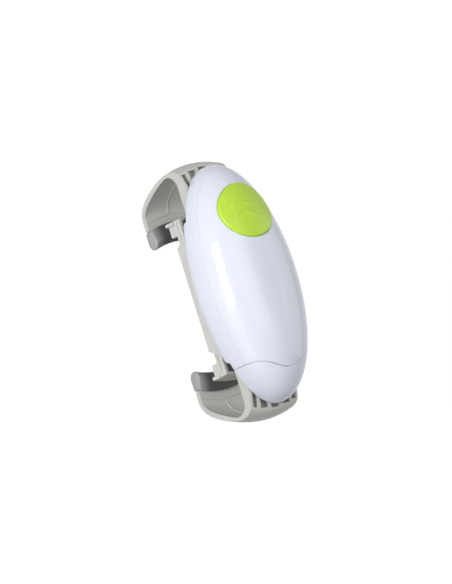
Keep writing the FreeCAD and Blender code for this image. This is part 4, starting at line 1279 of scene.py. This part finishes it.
@dataclass
class StartButton:
    """Domed push button with two raised waves for the thumb."""

    paints: Paintbox
    dome: Dome = field(default_factory=Dome)
    radius: float = 21.3
    x: float = -46.7
    tilt: float = 15.4
    sink: float = 5.1
    proud: float = 1.3
    skirt: float = 4.5
    wall: float = 2.2
    edge: float = 1.2
    stem_radius: float = 3.0
    stem_end: float = -9.8
    collar_top: float = -2.2
    wave_half: float = 11.5
    wave_spacing: float = 7.4
    wave_swing: float = 2.1
    wave_width: float = 1.6
    wave_height: float = 0.5
    wave_flat: float = 1.7
    across: Place = (0.0, 1.0, 0.0)
    # how finely the surfaces are drawn
    cells: int = 180
    edge_rows: int = 6
    stem_sides: int = 48
    search: tuple[float, float] = (-12.0, 30.0)
    halvings: int = 44

    @property
    def seat(self) -> np.ndarray:
        """Middle of the seat circle."""
        top = self.dome.on_plan(np.array(self.x), np.array(0.0))[2]
        return np.array([self.x, 0.0, top - self.sink])

    @property
    def axis(self) -> np.ndarray:
        """Direction out of the housing along the button's stem."""
        return np.array([-math.sin(math.radians(self.tilt)), 0.0,
                         math.cos(math.radians(self.tilt))])

    @property
    def along(self) -> np.ndarray:
        """Direction across the button, along the tool."""
        return np.array([math.cos(math.radians(self.tilt)), 0.0,
                         math.sin(math.radians(self.tilt))])

    def place(self) -> Matrix:
        """How an upright shape gets on to the seat.

        Returns:
            The matrix that moves it there.
        """
        columns = np.column_stack([self.along, self.across, self.axis])
        matrix = Matrix(columns.tolist()).to_4x4()
        matrix.translation = Vector(self.seat)
        return matrix

    def world(self, u: np.ndarray, v: np.ndarray, h: np.ndarray) -> np.ndarray:
        """Places given on the seat, in the part's frame.

        Args:
            u: Distances from the seat's middle along the tool.
            v: Distances from it across the tool.
            h: Heights above the seat.

        Returns:
            The points.
        """
        u, v, h = np.broadcast_arrays(u, v, h)
        return (self.seat + u[..., None] * self.along + h[..., None] * self.axis
                + v[..., None] * np.array(self.across))

    def lift(self, dome: Dome, u: np.ndarray, v: np.ndarray) -> np.ndarray:
        """Height above the seat where lines along the stem meet a dome.

        Args:
            dome: The dome.
            u: Distances of the lines from the seat's middle along the tool.
            v: Distances from it across the tool.

        Returns:
            The heights.
        """
        def inside(height: np.ndarray) -> np.ndarray:
            """Whether the lines are still under the dome.

            Args:
                height: Heights on the lines.

            Returns:
                True where they are.
            """
            x, y, z = np.moveaxis(self.world(u, v, height), -1, 0)
            rho = np.hypot(x / dome.half_length, y / dome.half_width)
            level = np.maximum(0.0, z - dome.rim) / dome.crown
            return rho ** dome.power + level ** dome.power < 1

        low, high = (np.full(np.broadcast(u, v).shape, bound) for bound in self.search)
        return furthest_inside(inside, low, high, self.halvings)

    def on_dome(self, dome: Dome, u: float, v: float) -> np.ndarray:
        """Point of a dome on a line along the stem."""
        return self.world(np.array(u), np.array(v), self.lift(dome, np.array(u), np.array(v)))

    def wave(self, u: np.ndarray, v: np.ndarray) -> np.ndarray:
        """Height of the raised waves at places on the seat.

        Args:
            u: Distances from the seat's middle along the tool.
            v: Distances from it across the tool.

        Returns:
            The heights.
        """
        raised = np.zeros_like(u)
        for row in (-0.5, 0.5):
            across = np.clip(v, -self.wave_half, self.wave_half)
            phase = math.pi * across / self.wave_half
            line = row * self.wave_spacing + self.wave_swing * np.sin(phase)
            slope = self.wave_swing * math.pi / self.wave_half * np.cos(phase)
            gap = np.hypot((u - line) / np.sqrt(1 + slope ** 2), v - across)
            near = np.clip(1 - gap / self.wave_width, 0.0, 1.0)
            near = np.clip(near * self.wave_flat, 0.0, 1.0)
            raised = np.maximum(raised, self.wave_height * near * near * (3 - 2 * near))
        return raised

    def build(self) -> None:
        """Builds and dresses the button's cap with its stem."""
        grown = self.dome.grown(self.proud)
        u, v = self.top_grid()
        top = self.world(u, v, self.lift(grown, u, v) + self.wave(u, v))
        last = self.cells
        border = ([(i, 0) for i in range(last)] + [(last, j) for j in range(last)]
                  + [(i, last) for i in range(last, 0, -1)] + [(0, j) for j in range(last, 0, -1)])
        rows, columns = np.array(border).T
        angle = np.arctan2(v[rows, columns], u[rows, columns])
        rings = self.side_rings(grown, np.cos(angle), np.sin(angle))
        blank = Blank()
        blank.add(np.vstack([top.reshape(-1, 3)] + rings), self.cap_faces(border, len(rings)))
        roof = float(self.lift(grown, np.array(0.0), np.array(0.0)))
        blank.add_tube(self.stem_radius, 0.0, self.stem_end, roof - self.wall / 2,
                       sides=self.stem_sides, place=self.place())
        piece = blank.piece("button_cap")
        self.paints.paint(piece, "button_green")
        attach(piece, "button")
        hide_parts("button")
        LOG.info("%s: %d faces", piece.name, len(piece.data.polygons))

    def top_grid(self) -> tuple[np.ndarray, np.ndarray]:
        """Places on the seat over which the button's top is drawn.

        Returns:
            Their distances along and across the tool: a square grid bent to a circle.
        """
        grid = np.linspace(-1, 1, self.cells + 1)
        a, b = np.meshgrid(grid, grid, indexing="ij")
        wide = np.abs(a) > np.abs(b)
        reach = np.where(wide, a, b)
        other = np.where(wide, b, a)
        turn = math.pi / 4 * other / np.where(np.abs(reach) < TINY, 1.0, reach)
        radius = self.radius - self.edge
        return (radius * reach * np.where(wide, np.cos(turn), np.sin(turn)),
                radius * reach * np.where(wide, np.sin(turn), np.cos(turn)))

    def cap_faces(self, border: list[tuple[int, int]], rings: int) -> list[tuple[int, ...]]:
        """Faces of the button's top, side and underside.

        Args:
            border: Rows and columns of the grid's outer points, in order round it.
            rings: Number of rings that follow, the last being a single point.

        Returns:
            The faces, by the places of their corners among the points.
        """
        size, around = self.cells + 1, len(border)
        faces = [(i * size + j, (i + 1) * size + j, (i + 1) * size + j + 1, i * size + j + 1)
                 for i in range(self.cells) for j in range(self.cells)]
        levels = [[i * size + j for i, j in border]]
        levels += [[size * size + k * around + j for j in range(around)]
                   for k in range(rings - 1)]
        for upper, lower in zip(levels[:-1], levels[1:]):
            faces += [(upper[j], upper[(j + 1) % around], lower[(j + 1) % around], lower[j])
                      for j in range(around)]
        centre = size * size + (rings - 1) * around
        last = levels[-1]
        return faces + [(last[j], last[(j + 1) % around], centre) for j in range(around)]

    def side_rings(self, grown: Dome, cosine: np.ndarray, sine: np.ndarray) -> list[np.ndarray]:
        """Rings of the button below its top, ending at the middle of its underside.

        Args:
            grown: Dome of the button's top.
            cosine: Cosines of the places round the button.
            sine: Sines of those places.

        Returns:
            One array of points a ring, and last the single middle point.
        """
        outer, inner = self.radius, self.radius - self.edge
        corner = self.lift(grown, outer * cosine, outer * sine)
        begin = self.lift(grown, inner * cosine, inner * sine)
        rings = []
        for share in np.linspace(0, 1, self.edge_rows + 1)[1:]:
            radius = inner * (1 - share) ** 2 + outer * (1 - (1 - share) ** 2)
            height = (begin * (1 - share) ** 2 + 2 * corner * share * (1 - share)
                      + (corner - self.edge) * share ** 2)
            rings.append(self.world(radius * cosine, radius * sine, height))
        foot = np.full_like(cosine, -self.skirt)
        hollow = self.radius - self.wall
        under = grown.grown(-self.wall)
        rings.append(self.world(outer * cosine, outer * sine, foot))
        rings.append(self.world(hollow * cosine, hollow * sine, foot))
        for radius in hollow * np.array([1.0, 0.75, 0.5, 0.25]):
            rings.append(self.world(radius * cosine, radius * sine,
                                    self.lift(under, radius * cosine, radius * sine)))
        middle = self.lift(under, np.array(0.0), np.array(0.0))
        rings.append(self.world(np.array(0.0), np.array(0.0), middle)[None, :])
        return rings


# ------------------------------------------------------------------ the jar grippers


@dataclass
class JarGripper:
    """One hooked jar arm with its ribs, rack and rubber pad."""

    paints: Paintbox
    end: End
    rim: float = 64.0
    reach: float = 91.6
    half: float = 21.3
    bow: float = 3.7
    wall: float = 3.0
    heel_wall: float = 3.9
    lip_wall: float = 4.0
    inner_end: float = 50.0
    top: float = 63.3
    deck_low: float = 54.0
    deck_high: float = 56.0
    rib_pitch: float = 9.3
    rib: float = 2.0
    slope: float = 15.0
    shoulder: Corner = (4.7, 4.6)
    shoulder_turn: Corner = (0.75, -0.66)
    waist_drop: float = 17.5
    thigh: Corner = (1.6, 32.5)
    shin: Corner = (8.4, 14.2)
    heel: Corner = (14.0, 5.4)
    toe_inset: float = 23.8
    armpit: Corner = (5.2, 13.4)
    pit_inset: float = 12.3
    pocket_inset: float = 5.6
    spine_half: float = 0.45
    spine_height: float = 0.5
    spine_crest: float = 0.3
    spine_foot: float = 0.1
    lip_low: float = 2.0
    lip_end: float = 53.0
    lip_step: float = 0.01
    bead_shift: float = -1.9
    bead_width: float = 0.95
    bead_slope: float = 0.1
    bead_height: float = 0.5
    bead_clear: float = 0.2
    plug_length: float = 14.0
    plug_bite: float = 0.4
    plug_sink: float = 0.5
    rack_low: float = 56.3
    rack_high: float = 61.1
    rack_start: float = -6.0
    rack_overlap: float = 2.0
    pitch_radius: float = 8.0
    module: float = 1.0
    tooth_out: float = 0.85
    tooth_in: float = 1.15
    tooth_angle: float = 25.0
    tooth_play: float = 0.08
    rack_back: float = 12.6
    pad_nose: float = 45.2
    pad_nose_back: float = 50.8
    pad_height: float = 10.8
    pad_nose_level: float = 0.48
    pad_back: Corner = (59.4, 8.0)
    pad_undercut: float = 0.98
    pad_round: float = 1.7
    pad_turns: tuple[int, ...] = (15, 32, 49, 64, 77, 90)
    pad_core: Corner = (52.6, 5.2)
    lip_side_inset: float = 1.7
    seat_gap: float = 0.1
    crease: float = 30.0
    arm_edge: float = 0.35
    pad_edge: float = 0.5
    # how finely the surfaces are drawn
    band_points: int = 46
    longest_step: float = 1.6
    pad_nose_steps: int = 18
    pad_columns: int = 27

    def bulge(self, y: float) -> float:
        """How far the band stands out beyond its side edges."""
        return self.bow * (1 - (y / self.half) ** 2)

    def build(self) -> None:
        """Builds and dresses the arm and its pad."""
        arm = self.build_arm()
        self.dress(arm, "arm_grey", f"jar_arm_{self.end.suffix}")
        pad = self.build_pad()
        self.dress(pad, "pad_rubber", f"jar_pad_{self.end.suffix}")

    def dress(self, piece: bpy.types.Object, slot: str, node: str) -> None:
        """Finishes a piece and puts it in its node's place.

        Args:
            piece: The piece.
            slot: Name of its slot.
            node: Node of the frame whose place it takes.
        """
        self.paints.paint(piece, slot)
        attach(piece, f"jar_arm_{self.end.suffix}")
        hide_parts(node)
        LOG.info("%s: %d faces", piece.name, len(piece.data.polygons))

    def faced(self, points: np.ndarray) -> np.ndarray:
        """Points drawn at the door's end, turned to this arm's end."""
        return points * np.array([self.end.value, self.end.value, 1.0])

    def curves(self) -> tuple[np.ndarray, np.ndarray]:
        """Lines of the hooked band, from the shoulder down and from the lip up.

        Returns:
            The outer and the inner line, each with its directions.
        """
        lip = self.lip_low
        knots = [(self.reach - self.shoulder[0], self.rim - self.shoulder[1]),
                 (self.reach, self.rim - self.waist_drop),
                 (self.reach - self.thigh[0], lip + self.thigh[1]),
                 (self.reach - self.shin[0], lip + self.shin[1]),
                 (self.reach - self.heel[0], lip + self.heel[1]),
                 (self.reach - self.toe_inset, lip)]
        outer = smooth_line(knots, self.shoulder_turn, (-1.0, 0.0), self.band_points)
        inside = []
        walls = (self.lip_wall, self.heel_wall, self.heel_wall, self.wall, self.wall)
        for knot, wall in zip(reversed(knots[1:]), walls):
            near = int(np.argmin(np.linalg.norm(outer[:, :2] - np.array(knot), axis=1)))
            inside.append((knot[0] + outer[near, 3] * wall, knot[1] - outer[near, 2] * wall))
        inside.append((self.reach - self.armpit[0], self.rim - self.armpit[1]))
        inside.append((self.reach - self.pit_inset, self.deck_low))
        return outer, smooth_line(inside, (1.0, 0.0), (-1.0, 0.0), self.band_points)

    def pockets(self) -> list[tuple[float, float]]:
        """Places of the pockets between the ribs.

        Returns:
            Where each pocket starts and ends across the arm.
        """
        side = self.half - self.rib
        slot = (self.rib_pitch - self.rib) / 2
        return [(max(k * self.rib_pitch - slot, -side), min(k * self.rib_pitch + slot, side))
                for k in range(-2, 3)]

    def columns(self) -> list[tuple[float, float]]:
        """Columns of the arm's skin.

        Returns:
            Their places across the arm, each with the pocket end that holds there.
        """
        lip = self.half - self.lip_side_inset
        one_side = (self.half, lip + self.lip_step, lip, self.spine_crest,
                    self.spine_half + self.spine_foot)
        fixed = {sign * y for y in one_side for sign in (-1, 1)}
        for low, high in self.pockets():
            fixed |= {low, high}
        result = []
        for y in filled_in(sorted(fixed), self.longest_step):
            nearest = min(self.pockets(), key=lambda p: max(p[0] - y, y - p[1], 0.0))
            end = self.reach - self.pocket_inset + self.bulge(max(abs(p) for p in nearest))
            result.append((y, end))
        return result

    def build_arm(self) -> bpy.types.Object:
        """Arm: one closed skin over band, lip, ribs and pockets, and the rack.

        Returns:
            The arm.
        """
        outer, inner = self.curves()
        columns = self.columns()
        points = np.array([[(x, y, z) for x, z in self.section(y, pocket_end, outer, inner)]
                           for y, pocket_end in columns])
        blank = Blank()
        blank.add(self.faced(points), self.skin_faces(points.shape[1], columns))
        blank.add_prism(self.turned_outline(self.rack_outline()), self.rack_low, self.rack_high)
        slot = (self.rib_pitch - self.rib) / 2
        low, high = self.rib_pitch - slot - self.plug_bite, self.rib_pitch + slot + self.plug_bite
        plug_end = self.inner_end + self.plug_length
        plug = [(self.inner_end, low), (plug_end, low), (plug_end, high), (self.inner_end, high)]
        blank.add_prism(self.turned_outline(plug), self.deck_high - self.plug_sink, self.rack_high)
        piece = blank.piece(f"hooked_arm_{self.end.suffix}", self.crease)
        round_edges(piece, self.arm_edge, ROUNDED_SEGMENTS)
        return piece

    def section(self, y: float, pocket_end: float, outer: np.ndarray,
                inner: np.ndarray) -> list[Corner]:
        """Section along the arm at one place across it.

        Args:
            y: The place.
            pocket_end: Where the pocket that holds there ends.
            outer: Outer line of the band.
            inner: Inner line of the band.

        Returns:
            Its corners as places along the tool and heights, the last three being the
            rib's two corners and the pocket's floor corner.
        """
        shift = self.bulge(y)
        spine = self.spine_height if abs(y) < self.spine_half else 0.0
        flat = self.reach - self.slope + shift
        fall = (self.shoulder[1] - (self.rim - self.top)) / (self.slope - self.shoulder[0])
        loop = [(pocket_end, self.top - (pocket_end - flat) * fall)]
        loop += [(x + shift, z) for x, z in outer[:, :2]]
        lip_half = self.half - self.lip_side_inset
        lip_end = self.lip_end + shift
        if abs(y) > lip_half + self.lip_step / 2:
            lip_end = self.pad_back[0] + self.bulge(lip_half) + self.seat_gap
        lip_high = self.lip_low + self.lip_wall
        crest = lip_high + self.bead_height
        bead = self.reach - self.toe_inset + self.bead_shift
        loop += [(lip_end, self.lip_low), (lip_end, lip_high),
                 (bead - self.bead_width + shift, lip_high),
                 (bead - (self.bead_width - self.bead_slope) + shift, crest),
                 (bead - self.bead_slope + shift, crest), (bead + shift, lip_high)]
        loop += [(x + shift - dz * spine, z + dx * spine) for x, z, dx, dz in inner[1:-1]
                 if x + shift > bead + shift + self.bead_clear]
        loop += [(inner[-1, 0] + shift, self.deck_low), (self.inner_end, self.deck_low),
                 (self.inner_end, self.deck_high)]
        return loop + [(self.inner_end, self.top), (flat, self.top), (pocket_end, self.deck_high)]

    def skin_faces(self, around: int, columns: list[tuple[float, float]]) -> list[tuple[int, ...]]:
        """Faces of the arm's skin.

        Args:
            around: Points in one column, the last three being the rib's two corners
                and the pocket's floor corner.
            columns: Places across the arm.

        Returns:
            The faces, closed at both sides and at the sides of each rib.
        """
        common = around - 3
        faces: list[tuple[int, ...]] = []
        kinds = []
        for left, right in zip(columns[:-1], columns[1:]):
            middle = (left[0] + right[0]) / 2
            kinds.append(any(low < middle < high for low, high in self.pockets()))
        for i, pocket in enumerate(kinds):
            here, there = i * around, (i + 1) * around
            order = list(range(common))
            order += [common + 2] if pocket else [common, common + 1]
            for a, b in zip(order, order[1:] + order[:1]):
                faces.append((here + a, here + b, there + b, there + a))
        for i in range(len(columns)):
            before = kinds[i - 1] if i > 0 else None
            after = kinds[i] if i < len(kinds) else None
            base = i * around
            if before is None or after is None:
                faces.append(tuple(base + j for j in range(common + 2)))
            elif before != after:
                faces.append(tuple(base + j for j in
                                   (common - 1, common, common + 1, 0, common + 2)))
        return faces

    def turned_outline(self, outline: Sequence[Corner]) -> list[Corner]:
        """Plan outline drawn at the door's end, turned to this arm's end."""
        return [(x * self.end.value, y * self.end.value) for x, y in outline]

    def rack_outline(self) -> list[Corner]:
        """Plan outline of the rack, drawn at the door's end.

        Returns:
            Its corners, with the teeth towards the pinion.
        """
        pitch = math.pi * self.module
        tip, root = self.pitch_radius - self.tooth_out, self.pitch_radius + self.tooth_in
        slope = math.tan(math.radians(self.tooth_angle))
        half = pitch / 4 - self.tooth_play
        at_tip, at_root = half - self.tooth_out * slope, half + self.tooth_in * slope
        stop = self.inner_end + self.rack_overlap
        points = [(self.rack_start, root)]
        first = math.ceil((self.rack_start + at_root) / pitch - 0.5)
        last = math.floor((stop - at_root) / pitch - 0.5)
        for k in range(first, last + 1):
            middle = (k + 0.5) * pitch
            points += [(middle - at_root, root), (middle - at_tip, tip),
                       (middle + at_tip, tip), (middle + at_root, root)]
        return points + [(stop, root), (stop, self.rack_back), (self.rack_start, self.rack_back)]

    def build_pad(self) -> bpy.types.Object:
        """Rubber pad round the lip, with its rounded grip edge and flat sole.

        Returns:
            The pad.
        """
        gap = self.seat_gap
        low_edge, high_edge = self.lip_low - gap, self.lip_low + self.lip_wall + gap
        back, back_height = self.pad_back
        middle = np.array([self.pad_nose, self.pad_height * self.pad_nose_level])
        high = np.array([self.pad_nose_back, self.pad_height])
        low = np.array([self.pad_nose_back, 0.0])
        outline = [(back, high_edge), (back, back_height), tuple(high)]
        outline += arc_through(high, middle, low, self.pad_nose_steps)
        outline += [(back - self.pad_undercut, 0.0), (back, low_edge)]
        slot = [(self.lip_end - gap, low_edge), (self.lip_end - gap, high_edge)]
        third = (high_edge - low_edge) / 3
        closed = [(back, low_edge + third), (back, high_edge - third)]
        slot_half = self.half - self.lip_side_inset + gap
        core = np.array(self.pad_core)
        side = [(slot_half + self.lip_step, 1.0)]
        for turn in np.radians(self.pad_turns):
            side.append((max(slot_half + 2 * self.lip_step,
                             self.half - self.pad_round * (1 - math.sin(turn))),
                         1 - self.pad_round * (1 - math.cos(turn)) / core[1]))
        places = [(y, 1.0) for y in np.linspace(-slot_half, slot_half, self.pad_columns)]
        places = [(-y, size) for y, size in reversed(side)] + places + side
        loops = []
        for y, size in places:
            whole = outline + (closed if abs(y) > slot_half + self.lip_step / 2 else slot)
            loops.append([(x + self.bulge(y), y, z) for x, z in core + (whole - core) * size])
        blank = Blank()
        blank.add_loops(self.faced(np.array(loops)), Ends.CAPPED)
        piece = blank.piece(f"sole_pad_{self.end.suffix}", self.crease)
        round_edges(piece, self.pad_edge)
        return piece


def arc_through(start: np.ndarray, middle: np.ndarray, end: np.ndarray,
                steps: int) -> list[Corner]:
    """Points of the arc through three plane points, without its first point.

    Args:
        start: First point.
        middle: Point between.
        end: Last point.
        steps: Number of points returned, the last being end.

    Returns:
        The points.
    """
    system = 2 * np.array([middle - start, end - start])
    centre = np.linalg.solve(system, [middle @ middle - start @ start, end @ end - start @ start])
    radius = float(np.linalg.norm(start - centre))
    angles = [math.atan2(*(point - centre)[::-1]) for point in (start, middle, end)]
    while angles[1] < angles[0]:
        angles[1] += 2 * math.pi
    while angles[2] < angles[0]:
        angles[2] += 2 * math.pi
    sweep = angles[2] - angles[0]
    if angles[1] > angles[2]:
        sweep -= 2 * math.pi
    return [(float(centre[0] + radius * math.cos(angles[0] + sweep * k / steps)),
             float(centre[1] + radius * math.sin(angles[0] + sweep * k / steps)))
            for k in range(1, steps + 1)]


# ------------------------------------------------------------------ pieces kept from the frame


@dataclass
class KeptNodes:
    """Nodes of the frame whose shape is right: they get softened edges and finishes."""

    paints: Paintbox
    nodes: dict[str, bpy.types.Object]
    edge: float = 0.25
    weld: float = 0.004
    softened: tuple[str, ...] = (
        "lid_carrier", "carrier_base", "lid_jaw_door_end", "lid_jaw_button_end",
        "lid_pad_door_end", "lid_pad_button_end", "base_plate", "spindle_screw",
    )

    def dress(self, record: dict) -> None:
        """Finishes every shown node from the slot that the record gives it.

        Args:
            record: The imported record.
        """
        shading = self.smoothing_nodes()
        slots = {part["node"]: part["material_slot"] for part in record["subparts"]}
        for name, node in sorted(self.nodes.items()):
            if node.hide_render:
                continue
            self.paints.repaint(node, slots[name])
            weld = node.modifiers.new("weld", "WELD")
            weld.merge_threshold = self.weld * MM
            smooth = node.modifiers.new("smooth_by_angle", "NODES")
            smooth.node_group = shading
            if name in self.softened:
                round_edges(node, self.edge, ROUNDED_SEGMENTS)
            LOG.info("%s: kept, %s", name, slots[name])

    def smoothing_nodes(self, angle: float = 35.0) -> bpy.types.NodeTree:
        """Geometry group that shades smooth except across sharp edges.

        Args:
            angle: Edges that turn by more than this many degrees are sharp.

        Returns:
            The group.
        """
        board = NodeBoard(bpy.data.node_groups.new("smooth_by_angle", "GeometryNodeTree"))
        for way in ("INPUT", "OUTPUT"):
            board.tree.interface.new_socket("Geometry", in_out=way,
                                            socket_type="NodeSocketGeometry")
        faces = board.node("GeometryNodeSetShadeSmooth", domain="FACE")
        edges = board.node("GeometryNodeSetShadeSmooth", domain="EDGE")
        edges.inputs["Shade Smooth"].default_value = False
        over = board.node("FunctionNodeCompare", operation="GREATER_THAN")
        over.inputs["B"].default_value = math.radians(angle)
        turn = board.node("GeometryNodeInputMeshEdgeAngle")
        board.join(board.node("NodeGroupInput").outputs["Geometry"], faces.inputs["Geometry"])
        board.join(faces.outputs["Geometry"], edges.inputs["Geometry"])
        board.join(turn.outputs["Unsigned Angle"], over.inputs["A"])
        board.join(over.outputs["Result"], edges.inputs["Selection"])
        board.join(edges.outputs["Geometry"], board.node("NodeGroupOutput").inputs["Geometry"])
        return board.tree


# ------------------------------------------------------------------ the studio


@dataclass(frozen=True)
class SoftBox:
    """Area light that faces the object, with its distance and size in metres."""

    name: str
    direction: Place
    distance: float
    size: tuple[float, float]
    watts: float

    def set_up(self, aim: Vector) -> None:
        """Adds the light to the scene.

        Args:
            aim: Point of the object that it faces.
        """
        data = bpy.data.lights.new(self.name, "AREA")
        data.shape = "RECTANGLE"
        data.size, data.size_y = self.size
        data.energy = self.watts
        light = bpy.data.objects.new(self.name, data)
        bpy.context.scene.collection.objects.link(light)
        back = Vector(self.direction).normalized()
        light.location = aim + back * self.distance
        side = Vector((1, 0, 0)) - back * back.x
        side.normalize()
        upward = back.cross(side)
        turn = Matrix((side, upward, back)).transposed()
        light.rotation_mode = "QUATERNION"
        light.rotation_quaternion = turn.to_quaternion()


@dataclass
class Studio:
    """Floor, surroundings, lights and camera."""

    camera_back: Place = (0.103938, -0.597484, 0.795116)
    camera_up: Place = (-0.949806, 0.177549, 0.257576)
    distance: float = 4915.0
    pixels_per_mm: float = 1.4111
    aim: Place = (0.0, 0.0, 64.0)
    aim_pixel: tuple[float, float] = (241.858, 284.848)
    frame_size: tuple[int, int] = (452, 584)
    sensor: float = 36.0
    clip: tuple[float, float] = (0.1, 100.0)
    floor_size: float = 30.0
    floor_colour: Colour = (0.14, 0.14, 0.14)
    floor_rough: float = 0.9
    floor_lift: float = 0.95
    world_light: float = 0.30
    white: Colour = (1.0, 1.0, 1.0)
    boxes: tuple[SoftBox, ...] = (
        SoftBox("side_box", (-0.17, -0.91, 0.34), 1.0, (0.45, 0.36), 6.4),
        SoftBox("end_box", (0.30, -0.93, 0.20), 1.4, (1.2, 0.8), 3.0),
        SoftBox("top_box", (-0.10, -0.10, 0.99), 1.5, (1.2, 1.0), 4.4),
        SoftBox("fill_box", (0.0, 0.85, 0.50), 1.5, (1.2, 1.0), 3.6),
    )

    def build(self) -> None:
        """Builds everything round the object."""
        self.build_floor()
        self.build_world()
        for box in self.boxes:
            box.set_up(Vector((0, 0, self.aim[2] * MM)))
        self.build_camera()
        bpy.context.scene.view_settings.view_transform = "Standard"

    def build_floor(self) -> None:
        """Pale floor that keeps the object's shadow."""
        half = self.floor_size / 2
        mesh = bpy.data.meshes.new("floor")
        mesh.from_pydata([(-half, -half, 0), (half, -half, 0), (half, half, 0), (-half, half, 0)],
                         [], [(0, 1, 2, 3)])
        floor = bpy.data.objects.new("floor", mesh)
        bpy.context.scene.collection.objects.link(floor)
        sheet = MaterialSheet("pale_floor")
        sheet.shader.inputs["Base Color"].default_value = (*self.floor_colour, 1.0)
        sheet.shader.inputs["Roughness"].default_value = self.floor_rough
        sheet.shader.inputs["Specular IOR Level"].default_value = 0.0
        lifted = sheet.node("ShaderNodeMath", operation="MULTIPLY")
        lifted.inputs[1].default_value = self.floor_lift
        sheet.join(self.seen_rays(sheet), lifted.inputs[0])
        sheet.join(lifted.outputs["Value"], sheet.shader.inputs["Emission Strength"])
        sheet.shader.inputs["Emission Color"].default_value = (*self.white, 1.0)
        mesh.materials.append(sheet.material)

    def build_world(self) -> None:
        """Even white surroundings, at full strength only where they are seen."""
        world = bpy.data.worlds.new("studio")
        bpy.context.scene.world = world
        world.use_nodes = True
        board = NodeBoard(world.node_tree)
        background = board.tree.nodes["Background"]
        background.inputs["Color"].default_value = (*self.white, 1.0)
        choose = board.node("ShaderNodeMapRange")
        choose.inputs["To Min"].default_value = self.world_light
        choose.inputs["To Max"].default_value = 1.0
        board.join(self.seen_rays(board), choose.inputs["Value"])
        board.join(choose.outputs["Result"], background.inputs["Strength"])

    def seen_rays(self, board: NodeBoard) -> bpy.types.NodeSocket:
        """Mask of the rays that show the surroundings: camera, glossy and transmission.

        Args:
            board: Tree that gets the nodes.

        Returns:
            A socket that is 1 for those rays and 0 for the rest.
        """
        path = board.node("ShaderNodeLightPath")
        total = path.outputs["Is Camera Ray"]
        for name in ("Is Glossy Ray", "Is Transmission Ray"):
            summed = board.node("ShaderNodeMath", operation="ADD", use_clamp=True)
            board.join(total, summed.inputs[0])
            board.join(path.outputs[name], summed.inputs[1])
            total = summed.outputs["Value"]
        return total

    def build_camera(self) -> None:
        """Long lens that looks down on the housing, rolled with the tool upright."""
        data = bpy.data.cameras.new("camera")
        camera = bpy.data.objects.new("camera", data)
        bpy.context.scene.collection.objects.link(camera)
        bpy.context.scene.camera = camera
        back = Vector(self.camera_back).normalized()
        up = Vector(self.camera_up)
        up = (up - back * up.dot(back)).normalized()
        right = up.cross(back)
        offset = [(self.aim_pixel[0] - self.frame_size[0] / 2) / self.pixels_per_mm,
                  (self.frame_size[1] / 2 - self.aim_pixel[1]) / self.pixels_per_mm]
        place = Vector(self.aim) - right * offset[0] - up * offset[1] + back * self.distance
        camera.matrix_world = (Matrix.Translation(place * MM)
                               @ Matrix((right, up, back)).transposed().to_4x4())
        data.sensor_width = self.sensor
        focal = self.pixels_per_mm * self.distance
        data.lens = focal * self.sensor / max(self.frame_size)
        data.clip_start, data.clip_end = self.clip


# ------------------------------------------------------------------ all together


def clear_scene() -> None:
    """Removes what a new Blender file starts with."""
    for thing in list(bpy.data.objects):
        bpy.data.objects.remove(thing)


def main() -> None:
    """Builds the dressed model round the frame."""
    logging.basicConfig(level=logging.INFO, format="%(name)s: %(message)s")
    clear_scene()
    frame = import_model()
    paints = Paintbox()
    button = StartButton(paints)
    button.build()
    Housing(paints).build(button)
    for end in End:
        JarGripper(paints, end).build()
    KeptNodes(paints, frame["nodes"]).dress(frame["record"])
    Studio().build()
    bpy.context.view_layer.update()


if __name__ == "__main__":
    main()
